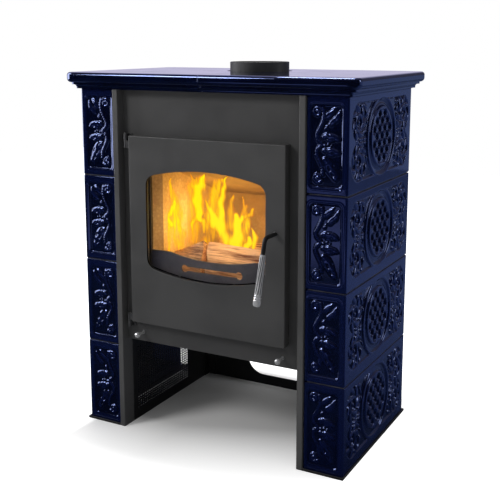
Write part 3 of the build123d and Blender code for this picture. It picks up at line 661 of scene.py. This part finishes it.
def sideHeight(u, v):
    shape = sideOrnament
    v = v - shape["middle"]
    radius = np.hypot(u, v)
    au, av = np.abs(u), np.abs(v)
    art = np.zeros(u.shape)
    (roseU, roseV), beadRadius, ringRadius, ringHalf = shape["rosette"]
    away = np.hypot(au - roseU, av - roseV)
    petals, petalRadius, petalHalf, petalWidth, swirl = shape["petals"]
    turned = np.arctan2(av - roseV, au - roseU) + swirl * away
    spread = np.abs((turned * petals / (2 * math.pi)) % 1 - 0.5) * 2 * math.pi / petals * away
    petal = 1 - ((away - petalRadius) / petalHalf) ** 2 - (spread / petalWidth) ** 2
    for form in (np.sqrt(np.clip(petal, 0, 1)), ridge(away - ringRadius, ringHalf), ridge(away, beadRadius)):
        art = np.maximum(art, form)
    for centre, length, width, angle in shape["lobes"]:
        art = np.maximum(art, lobe(au, av, centre, length, width, angle))
    art = np.where(radius > shape["rings"][0][0], art, 0)
    for middle, flatHalf, flank in shape["rings"]:
        art = np.maximum(art, softStep(np.abs(radius - middle), flatHalf + flank, flatHalf))
    (scallopU, scallopV), scallopRadius = shape["scallops"]
    scallop = np.hypot(au - scallopU, av - scallopV) - scallopRadius
    field = np.minimum(roundedBox(u, v, *shape["field"]), scallop)
    height = carvedLevel(art, field, 2.6) * 1.3 + 0.2
    middle, halfWidth, depth = shape["trough"]
    hollow = depth * (0.5 + 0.5 * np.cos(np.clip((radius - middle) / halfWidth, -1, 1) * math.pi)) ** 0.7
    height = np.where(np.abs(radius - middle) < halfWidth, np.minimum(height, -0.4 - hollow), height)
    stepU, stepV, pitRadius, reach, depth = shape["pits"]
    pits = np.zeros(u.shape)
    for shift in (0.0, 0.5):
        column, row = np.round(u / stepU - shift) + shift, np.round(v / stepV - shift) + shift
        pitU, pitV = column * stepU, row * stepV
        power = shape["pitSquareness"]
        away = (np.abs(u - pitU) ** power + np.abs(v - pitV) ** power) ** (1 / power)
        outer, inner = (pitRadius + flank for flank in shape["pitFlank"])
        pits = np.maximum(pits, softStep(away, outer, inner) * (np.hypot(pitU, pitV) < reach))
    inside = radius < shape["rings"][1][0]
    return np.where(inside, np.maximum(shape["latticeLevel"], height) - depth * pits, height)


def makeTile(side, row):
    shape = tileShape
    low, high = rows[row]
    height = (high - low) * 1000
    corner = shape["cornerRadius"]
    straight = shape["frontWidth"] - corner
    arc = corner * math.pi / 2
    total = straight + arc + shape["sideLength"] - corner
    across = int(round(total / shape["cell"]))
    up = int(round(height / shape["cell"]))
    bm = bmesh.new()
    bmesh.ops.create_grid(bm, x_segments=across, y_segments=up, size=0.5)
    rim = [edge for edge in bm.edges if edge.is_boundary]
    s = np.array([vert.co.x + 0.5 for vert in bm.verts]) * total
    z = np.array([vert.co.y for vert in bm.verts]) * height
    innerX, outerX, frontY = cadTile
    turned = np.clip((s - straight) / arc, 0, 1) * math.pi / 2
    x = innerX + np.minimum(s, straight) + corner * np.sin(turned)
    y = frontY + corner * (1 - np.cos(turned)) + np.maximum(s - straight - arc, 0)
    nx, ny = np.sin(turned), -np.cos(turned)
    level = np.where(turned < 0.02, frontHeight(s - shape["frontWidth"] / 2, z), shape["borderLevel"])
    sideU = s - straight - arc + corner - shape["sideLength"] / 2
    level = np.where(turned > math.pi / 2 - 0.02, sideHeight(sideU, z), level)
    border = np.minimum(np.minimum(s, total - s), height / 2 - np.abs(z))
    fall = shape["edgeRadius"]
    close = np.clip(1 - border / fall, 0, 1)
    level = level - fall * (1 - np.sqrt(1 - close ** 2))
    reliefLayer = bm.verts.layers.float.new("relief")
    middle = (low + high) / 2
    places = np.column_stack(((x + nx * level) / 1000, (y + ny * level) / 1000, middle + z / 1000))
    for vert, at, lift in zip(bm.verts, places.tolist(), level.tolist()):
        vert.co = at
        vert[reliefLayer] = 1 - lift / shape["sunkLevel"]
    wall = shape["wall"]
    backX, backY = (outerX - wall) / 1000, (frontY + wall) / 1000
    for vert in onlyVerts(bmesh.ops.extrude_edge_only(bm, edges=rim)["geom"]):
        vert[reliefLayer] = shape["backRelief"]
        if vert.co.x * 1000 < outerX - wall and vert.co.y < backY:
            vert.co.y = backY
        elif vert.co.y > backY:
            vert.co.x = backX
        else:
            vert.co = (backX, backY, vert.co.z)
        for end in (low, high):
            if abs(vert.co.z - end) < shape["endSnap"]:
                vert.co.z = end
    bmesh.ops.remove_doubles(bm, verts=bm.verts, dist=seamGap)
    corners = [vert for vert in bm.verts if max(abs(vert.co.x - backX), abs(vert.co.y - backY)) < sameSpot]
    corners.sort(key=lambda vert: vert.co.z)
    bm.edges.new((corners[0], corners[-1]))
    openEdges = [edge for edge in bm.edges if edge.is_boundary or edge.is_wire]
    bmesh.ops.edgenet_fill(bm, edges=openEdges, mat_nr=0, use_smooth=False, sides=0)
    thick, deep = shape["ledge"]
    ledgeX = (innerX + shape["ledgeEnd"]) / 1000
    ledgeY = (frontY + shape["sideLength"] - shape["ledgeEnd"]) / 1000
    for z0, z1 in ((low, low + thick), (high - thick, high)):
        addBar(bm, (ledgeX, backY, z0), (backX, backY + deep, z1))
        addBar(bm, (backX - deep, backY, z0), (backX, ledgeY, z1))
    if side == "left":
        bmesh.ops.scale(bm, vec=(-1, 1, 1), verts=bm.verts)
    name = "tile_%s_%d" % (side, row)
    makePiece("relief_" + name, bm, "glaze", "stove_body", (name,), 50.0)


tileLow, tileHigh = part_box("tile_right_1")
cadTile = (tileLow.x * 1000, tileHigh.x * 1000, tileLow.y * 1000)
for row in rows:
    for side in ("left", "right"):
        makeTile(side, row)
print("relief tiles made")


# finely perforated side sheets of the wood store

sheetShape = {
    "pitch": (0.0098, 0.0068), "bar": 0.0034, "corner": 0.0008, "gauge": 0.0015,
    "zone": (-0.128, 0.117, 0.026, 0.196),  # Y and Z limits of the holes
}


def makeSideSheet(side):
    shape = sheetShape
    low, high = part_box("side_sheet_" + side)
    y0, y1, z0, z1 = shape["zone"]
    columns = int(round((y1 - y0) / shape["pitch"][0]))
    levels = int(round((z1 - z0) / shape["pitch"][1]))
    bm = bmesh.new()
    bmesh.ops.create_grid(bm, x_segments=columns, y_segments=levels, size=0.5)
    zone = list(bm.faces)
    rim = [edge for edge in bm.edges if edge.is_boundary]
    for vert in bm.verts:  # lay the grid on the sheet's plane
        vert.co = (low.x, (y0 + y1) / 2 + vert.co.x * (y1 - y0), (z0 + z1) / 2 + vert.co.y * (z1 - z0))
    for vert in onlyVerts(bmesh.ops.extrude_edge_only(bm, edges=rim)["geom"]):
        if min(abs(vert.co.y - y0), abs(vert.co.y - y1)) < 1e-6:
            vert.co.y = low.y if vert.co.y < (y0 + y1) / 2 else high.y
        if min(abs(vert.co.z - z0), abs(vert.co.z - z1)) < 1e-6:
            vert.co.z = low.z if vert.co.z < (z0 + z1) / 2 else high.z
    bmesh.ops.inset_individual(bm, faces=zone, thickness=shape["bar"] / 2, use_even_offset=True)
    corners = {vert for face in zone for vert in face.verts}
    bmesh.ops.bevel(
        bm, geom=list(corners), offset=shape["corner"], segments=1, profile=0.5, affect="VERTICES", material=-1)
    limit = (shape["pitch"][0] - shape["bar"] * 0.5) / 2
    holes = []
    for face in bm.faces:
        centre = face.calc_center_median().y
        if len(face.verts) == 8 and max(abs(vert.co.y - centre) for vert in face.verts) < limit:
            holes.append(face)
    bmesh.ops.delete(bm, geom=holes, context="FACES")
    bmesh.ops.recalc_face_normals(bm, faces=bm.faces)
    bmesh.ops.solidify(bm, geom=list(bm.faces), thickness=shape["gauge"])
    offset = low.x - min(vert.co.x for vert in bm.verts)
    bmesh.ops.translate(bm, vec=(offset, 0, 0), verts=bm.verts)
    makePiece("perforated_sheet_" + side, bm, "corePaint", "stove_body", ("side_sheet_" + side,), 30.0)


for side in ("left", "right"):
    makeSideSheet(side)
print("side sheets made")


# split logs

logShapes = [  # the same places and sizes as the solids; heights of the two ends
    {"at": (-0.099, -0.084, 0.392), "turn": -5, "length": 0.094, "base": 0.068, "heights": (0.060, 0.099),
     "burnt": 0.06, "seed": 3},
    {"at": (0.041, -0.084, 0.392), "turn": 4, "length": 0.170, "base": 0.068, "heights": (0.098, 0.090),
     "burnt": 0.02, "seed": 7},
    {"at": (0.0, 0.103, 0.392), "turn": 4, "length": 0.240, "base": 0.060, "heights": (0.058, 0.058),
     "burnt": 0.40, "seed": 11},
]
logOutline = [  # flat foot, bowed bark side, arris, flat split side towards the door
    (-0.5, 0), (0, 0), (0.5, 0), (0.48, 0.21), (0.45, 0.42), (0.33, 0.62), (0.19, 0.8), (0.04, 0.92), (-0.12, 1),
    (-0.25, 0.66), (-0.38, 0.33),
]
logSurface = {  # cuts along the log and round it, each with the X lengths of its edges
    "splinters": 0.0006, "waves": 0.0012, "raggedEnds": 0.004, "charAtFoot": 0.5,
    "cuts": ((30, 0.01, 1.0), (3, 0.0, 1e-6)),
}


def makeLogs():
    surface = logSurface
    whole = bmesh.new()
    for shape in logShapes:
        bm = bmesh.new()
        grainLayer = bm.verts.layers.float_vector.new("grainCoords")
        charLayer = bm.verts.layers.float.new("charLevel")
        ring = [bm.verts.new((-shape["length"] / 2, y, z)) for y, z in logOutline]
        grown = bmesh.ops.extrude_face_region(bm, geom=[bm.faces.new(ring)])["geom"]
        bmesh.ops.translate(bm, vec=(shape["length"], 0, 0), verts=onlyVerts(grown))
        for cuts, shortest, longest in surface["cuts"]:
            spans = {edge: abs(edge.verts[0].co.x - edge.verts[1].co.x) for edge in bm.edges}
            edges = [edge for edge, span in spans.items() if shortest <= span <= longest]
            bmesh.ops.subdivide_edges(bm, edges=edges, cuts=cuts, use_grid_fill=True)
        seat = Matrix.Translation(shape["at"]) @ Matrix.Rotation(math.radians(shape["turn"]), 4, "Z")
        firstHeight, lastHeight = shape["heights"]
        seed = shape["seed"]
        for vert in bm.verts:
            along = vert.co.x
            height = firstHeight + (lastHeight - firstHeight) * (along / shape["length"] + 0.5)
            across, up = vert.co.y * shape["base"], vert.co.z * height
            vert.co = (along, across, up)
            vert[grainLayer] = vert.co + Vector((seed, seed * 0.7, 0))
            vert[charLayer] = shape["burnt"] + surface["charAtFoot"] * max(0.0, 1 - up / height) ** 2
            splinter = math.sin(across * 900 + 2.1 * math.sin(along * 30 + seed))
            splinter += 0.8 * math.sin((across + up) * 2300 + along * 12)
            wave = math.sin(along * 42 + across * 25 + seed)
            inward = Vector((0, across, up - height * 0.45))
            lift = surface["splinters"] * splinter - surface["waves"] * (1 + wave)
            if up > 0.002 and inward.length > 0:
                vert.co += inward.normalized() * min(lift, 0.0)
            if abs(abs(along) - shape["length"] / 2) < sameSpot:
                ragged = surface["raggedEnds"] * (0.5 + 0.5 * math.sin(across * 160 + up * 90))
                vert.co.x -= math.copysign(ragged, along)
            vert.co = seat @ vert.co
        part = meshFrom("logPart", bm)
        whole.from_mesh(part)
        bpy.data.meshes.remove(part)
    makePiece("fireLogs", whole, "wood", "stove_body", ("split_logs",), 35.0)


makeLogs()
print("logs made")


# handle grip with slightly twisted flutes and turned rings at its foot

gripShape = {
    "elbow": (0.186, -0.0505, 0.5497),  # its Y counts from the front of the door
    "flare": 8.0, "tilt": 3.7, "start": 0.036, "length": 0.116, "flutes": 9, "twist": 0.30, "depth": 0.0017,
    "hollowPower": 1.6, "groovePower": 1.5, "fluteEnd": 0.091, "fades": (0.006, 0.004), "grid": (140, 144),
    "profile": [(0.0, 0.0061), (0.004, 0.0064), (0.050, 0.0074), (0.090, 0.0082), (0.0925, 0.0084), (0.0936, 0.0072),
                (0.0948, 0.0072), (0.096, 0.0088), (0.0978, 0.0088), (0.099, 0.0076), (0.1002, 0.0076),
                (0.1015, 0.0090), (0.111, 0.0088), (0.1145, 0.0074), (0.116, 0.0052)],
}


def makeGrip():
    shape = gripShape
    elbow = Vector(shape["elbow"]) + Vector((0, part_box("door_leaf")[0].y, 0))
    lean = Vector((-math.tan(math.radians(shape["tilt"])), -math.tan(math.radians(shape["flare"])), -1)).normalized()
    side = lean.orthogonal().normalized()
    third = lean.cross(side)
    start = elbow + lean * shape["start"]
    stations, radii = zip(*shape["profile"])
    fluteEnd = shape["fluteEnd"]
    fadeIn, fadeOut = shape["fades"]
    bm = bmesh.new()
    grooveLayer = bm.verts.layers.float.new("groove")
    bmesh.ops.create_grid(bm, x_segments=shape["grid"][0], y_segments=shape["grid"][1], size=0.5)
    for vert in bm.verts:
        along = (vert.co.x + 0.5) * shape["length"]
        angle = (vert.co.y + 0.5) * 2 * math.pi
        radius = float(np.interp(along, stations, radii))
        fade = max(0.0, min(1.0, along / fadeIn, (fluteEnd - along) / fadeOut))
        phase = shape["flutes"] * (angle - along / fluteEnd * shape["twist"] * math.pi)
        hollow = fade * (0.5 + 0.5 * math.cos(phase)) ** shape["hollowPower"]
        radius -= shape["depth"] * hollow
        # painted shade: how dark the chrome turns in the flute hollows
        vert[grooveLayer] = hollow ** shape["groovePower"]
        vert.co = start + lean * along + (side * math.cos(angle) + third * math.sin(angle)) * radius
    bmesh.ops.remove_doubles(bm, verts=bm.verts, dist=seamGap)
    ends = [edge for edge in bm.edges if edge.is_boundary]
    bmesh.ops.holes_fill(bm, edges=ends, sides=0)
    makePiece("flutedGrip", bm, "chrome", "door_handle", ("handle_grip",), 55.0)


makeGrip()
print("grip made")


# the view of the photograph

cameraView = {"at": (1.0292, -1.8863, 0.9725), "lens": 62.67, "yaw": 0.4906, "pitch": 0.1691, "shift": -0.12}
cameraData = bpy.data.cameras.new("photoView")
cameraData.lens = cameraView["lens"]
cameraData.sensor_width = 36.0
cameraData.shift_y = cameraView["shift"]
cameraData.clip_start = 0.05
camera = addObject("photoView", cameraData)
camera.location = cameraView["at"]
camera.rotation_euler = (math.pi / 2 - cameraView["pitch"], 0, cameraView["yaw"])
bpy.context.scene.camera = camera


# fire: upright sheets of glowing gas, with each tongue drawn along its own bent line

flameSheets = [  # depth of the sheet, its span and rise, and its tongues: heat and (x, z, half width) in mm
    {"depth": -121, "span": (-147, -85), "rise": (448, 650), "tongues": [
        (0.9, [(-134, 528, 12), (-144, 545, 14), (-130, 563, 12), (-124, 584, 9)]),
        (0.6, [(-144, 486, 2), (-144, 516, 9), (-144, 542, 12)]),
        (0.66, [(-110, 480, 28), (-112, 520, 37), (-114, 560, 37), (-122, 594, 26), (-131, 618, 12), (-135, 643, 1)]),
        (0.55, [(-144, 463, 12), (-144, 494, 18), (-144, 521, 16)]),
    ]},
    {"depth": -78, "span": (-133, 103), "rise": (432, 655), "tongues": [
        (1.15, [(-76, 538, 5), (-79, 556, 20), (-82, 584, 27), (-79, 614, 27), (-73, 632, 21), (-62, 652, 3)]),
        (0.9, [(-94, 620, 14), (-101, 634, 12), (-108, 649, 2)]),
        (1.0, [(-60, 588, 2), (-52, 564, 13), (-37, 540, 23), (-18, 516, 28), (5, 491, 32), (22, 473, 21)]),
        (0.74, [(-40, 524, 16), (-44, 556, 17), (-38, 590, 13), (-42, 612, 8), (-34, 634, 1)]),
        (1.05, [(-15, 522, 21), (-17, 561, 18), (-16, 596, 16), (-8, 624, 12), (3, 651, 2)]),
        (1.25, [(24, 468, 21), (29, 501, 24), (29, 531, 21), (30, 556, 14)]),
        (0.9, [(33, 541, 12), (49, 553, 12), (66, 564, 12), (70, 577, 5)]),
        (0.6, [(47, 558, 10), (49, 577, 9), (43, 604, 1)]),
        (0.8, [(77, 447, 10), (74, 476, 14), (78, 507, 14), (67, 532, 1)]),
        (1.0, [(52, 479, 14), (63, 493, 14), (60, 505, 9)]),
        (0.75, [(-103, 497, 2), (-98, 526, 10), (-83, 543, 14), (-66, 534, 12), (-65, 506, 7)]),
    ]},
    {"depth": -35, "span": (-147, 57), "rise": (446, 641), "tongues": [
        (0.66, [(-126, 471, 24), (-125, 518, 37), (-118, 565, 40), (-115, 607, 37), (-103, 628, 24)]),
        (0.66, [(-66, 498, 37), (-62, 545, 44), (-59, 586, 40), (-53, 617, 32), (-39, 633, 12)]),
        (0.6, [(-11, 519, 28), (-11, 555, 24), (-10, 585, 12), (-8, 600, 1)]),
        (0.6, [(20, 487, 28), (29, 523, 24), (29, 553, 24), (32, 574, 9)]),
        (0.55, [(-90, 462, 32), (-63, 478, 32)]),
    ]},
]
flameShape = {  # cells of each sheet, two waves that bend the tongues, soft rim, depth and lengths of the sheets' waves
    "cells": (110, 100), "sway": ((3.5, 11, 31), (2.0, 5.3, 12)), "rim": 6, "waves": (4, 22, 33), "falloff": 2.4,
}


def makeFlames():
    bm = bmesh.new()
    columns, levels = flameShape["cells"]
    waveDepth, waveX, waveZ = flameShape["waves"]
    warmthLayer = bm.verts.layers.float.new("flameWarmth")
    for sheet in flameSheets:
        (left, right), (foot, top) = sheet["span"], sheet["rise"]
        grid = bmesh.ops.create_grid(bm, x_segments=columns, y_segments=levels, size=0.5)["verts"]
        x = np.array([left + (vert.co.x + 0.5) * (right - left) for vert in grid])
        z = np.array([foot + (vert.co.y + 0.5) * (top - foot) for vert in grid])
        sway = (z - foot) / (top - foot)
        bentX = x + sway * sum(size * np.sin(z / upward + x / across) for size, upward, across in flameShape["sway"])
        warmth = np.zeros(x.shape)
        for heat, line in sheet["tongues"]:
            away, run, _, length = alongPath(bentX, z, [point[:2] for point in line])
            steps = [math.dist(first[:2], second[:2]) for first, second in zip(line[:-1], line[1:])]
            width = np.interp(run, np.cumsum([0] + steps) / length, [point[2] for point in line])
            warmth = np.hypot(warmth, heat * np.clip(1 - (away / width) ** 2, 0, 1) ** flameShape["falloff"])
        rim = np.minimum(np.minimum(x - left, right - x), np.minimum((z - foot) * 1.5, top - z))
        warmth = warmth * np.clip(rim / flameShape["rim"], 0, 1)
        for index, vert in enumerate(grid):
            vert[warmthLayer] = float(warmth[index])
            depth = sheet["depth"] + waveDepth * math.sin(x[index] / waveX) * math.sin(z[index] / waveZ)
            vert.co = (x[index] / 1000, depth / 1000, z[index] / 1000)
    makePiece("flames", bm, "flame", "stove_body", (), 180.0).visible_shadow = False


makeFlames()
print("fire made")


# floor, light and surroundings

stageShape = {  # metres on the floor; the mirrored tones are what only the glaze and the bright parts show, and they hold painted shadow near the stove
    "floorSize": 9.0, "floorDrop": 0.0002, "floorTone": (0.86, 0.86, 0.86),
    "shadeBeside": (0.31, 0.37), "shadeBefore": (0.06, 0.50), "shadeBehind": (0.28, 0.36),
    "shadeSkew": 0.4, "skewLimit": -0.045,
    "mirroredNear": (0.015, 0.02, 0.03), "mirroredFront": (0.29, 0.30, 0.44), "mirroredBack": (0.125, 0.170, 0.32),
    "bandSlope": 0.65, "bandLeft": (0.08, 0.32), "bandRight": (1.3, 1.5), "bandNear": (-2.25, -1.6),
    "bandFar": (-4.2, -3.4), "backStarts": (-0.3, 0.2), "backFar": (0.5, 1.8, 0.45, 1.0),
}


def frontBand(parts):  # the stretch of floor that the right front tiles mirror
    shape = stageShape
    across = minus(parts["X"], times(parts["Y"], shape["bandSlope"]))
    band = times(ease(across, *shape["bandLeft"]), ease(across, *shape["bandRight"], 1, 0))
    band = times(band, ease(parts["Y"], *shape["bandNear"], 1, 0))
    return times(band, ease(parts["Y"], *shape["bandFar"]))


def makeFloor():
    shape = stageShape
    bm = bmesh.new()
    bmesh.ops.create_grid(bm, x_segments=2, y_segments=2, size=shape["floorSize"] / 2)
    mesh = meshFrom("floor", bm)
    material, tree, shader, coords = newMaterial("floorPaper", Roughness=0.9, Specular_IOR_Level=0.0)
    light = addNode(tree, "LightPath").outputs
    glow = setInputs(addNode(tree, "Emission"), Color=(1, 1, 1, 1))
    away = addNode(tree, "VectorMath", operation="LENGTH")
    wire(coords, away, 0)
    parts = splitVector(coords)
    beside = ease(calculate("ABSOLUTE", parts["X"]), *shape["shadeBeside"])
    ahead = minus(larger(times(parts["X"], shape["shadeSkew"]), shape["skewLimit"]), parts["Y"])
    before = mapRange(ahead, *shape["shadeBefore"])
    beyond = ease(parts["Y"], *shape["shadeBehind"])
    fade = larger(beside, larger(before, beyond))  # the shadow stays under the stove
    wire(times(light["Is Camera Ray"], fade), glow, "Strength")
    # painted shadow: the floor that the glaze mirrors is darker near the stove
    backTone = mixColour(mapRange(away.outputs["Value"], *shape["backFar"]), (0, 0, 0), shape["mirroredBack"])
    frontTone = mixColour(frontBand(parts), shape["mirroredNear"], shape["mirroredFront"])
    mirrored = mixColour(ease(parts["Y"], *shape["backStarts"]), frontTone, backTone)
    wire(mixColour(light["Is Glossy Ray"], shape["floorTone"], mirrored), shader, "Base Color")
    both = addNode(tree, "AddShader")
    wire(shader.outputs[0], both, 0)
    wire(glow.outputs[0], both, 1)
    wire(both.outputs[0], tree.nodes["Material Output"], "Surface")
    mesh.materials.append(material)
    floor = addObject("floor", mesh)
    floor.location.z = -shape["floorDrop"]


worldShape = {  # strengths and tones by direction; all but the fill light is seen in mirror rays alone
    "fill": 0.42, "behind": (0.15, 0.6), "leftwards": (-0.15, 0.10, 1, 0.18), "horizon": (-0.01, 0.03, 0.02, 0.80),
    "belowLine": (-0.012, -0.004), "belowGlow": 0.34, "overhead": (0.6, 0.95, 0.02, 0.25),
    "belowTone": (0.44, 0.58, 1.0), "aboveTone": (0.79, 0.75, 1.0),
}


def makeWorld():
    shape = worldShape
    world = bpy.data.worlds.new("studio")
    bpy.context.scene.world = world
    world.use_nodes = True
    tree = world.node_tree
    background = tree.nodes["Background"]
    light = addNode(tree, "LightPath").outputs
    parts = splitVector(addNode(tree, "TexCoord").outputs["Generated"])
    behind = ease(parts["Y"], *shape["behind"])
    beside = times(behind, ease(parts["X"], *shape["leftwards"]))
    low = times(ease(parts["Z"], *shape["horizon"]), beside)
    below = times(behind, mapRange(parts["Z"], *shape["belowLine"], shape["belowGlow"], 0))
    mirrored = plus(plus(low, below), ease(parts["Z"], *shape["overhead"]))
    glossy = light["Is Glossy Ray"]
    seen = larger(light["Is Camera Ray"], light["Is Transmission Ray"])
    plain = mapRange(glossy, 0, 1, shape["fill"], 0)
    wire(larger(seen, plus(plain, times(glossy, mirrored))), background, "Strength")
    hue = mixColour(mapRange(parts["Z"], *shape["belowLine"]), shape["belowTone"], shape["aboveTone"])
    wire(mixColour(glossy, (1.0, 1.0, 1.0), hue), background, "Color")


lampPlan = [  # name, place, aim, size, power in watts, tint
    ("keyLeft", (-1.7, -2.3, 2.3), (0, 0, 0.5), (0.9, 0.9), 40, (1, 0.99, 0.98)),
    ("windowLeft", (-2.5, -0.6, 1.7), (-0.2, -0.6, 1.7), (1.5, 2.8), 66, (0.96, 0.96, 1)),
    ("sideBox", (2.5, 0.9, 1.4), (0.3, 0, 0.5), (0.6, 1.2), 5.5, (0.97, 0.98, 1)),
    ("topBox", (0.0, 0.2, 2.9), (0, 0, 0.8), (1.6, 0.45), 55, (1, 1, 1)),
]
fireLamps = [("fireGlow", (-0.06, -0.045, 0.515), 1.25, 0.02), ("emberGlow", (0.01, -0.136, 0.54), 0.50, 0.01)]
fireTint = (1.0, 0.64, 0.26)


def addLamp(name, kind, at, power, tint):
    data = bpy.data.lights.new(name, kind)
    data.energy = power
    data.color = tint
    lamp = addObject(name, data)
    lamp.location = at
    return lamp


def makeLamps():
    for name, at, aim, size, power, tint in lampPlan:
        lamp = addLamp(name, "AREA", at, power, tint)
        lamp.data.shape = "RECTANGLE"
        lamp.data.size, lamp.data.size_y = size
        lamp.rotation_euler = (Vector(aim) - Vector(at)).to_track_quat("-Z", "Y").to_euler()
        lamp.visible_diffuse = name != "windowLeft"
    for name, at, power, radius in fireLamps:
        lamp = addLamp(name, "POINT", at, power, fireTint)
        lamp.data.shadow_soft_size = radius
        lamp.visible_camera = lamp.visible_transmission = lamp.visible_glossy = False


makeFloor()
makeWorld()
makeLamps()
bpy.context.scene.view_settings.view_transform = "Standard"
print("floor and light set")
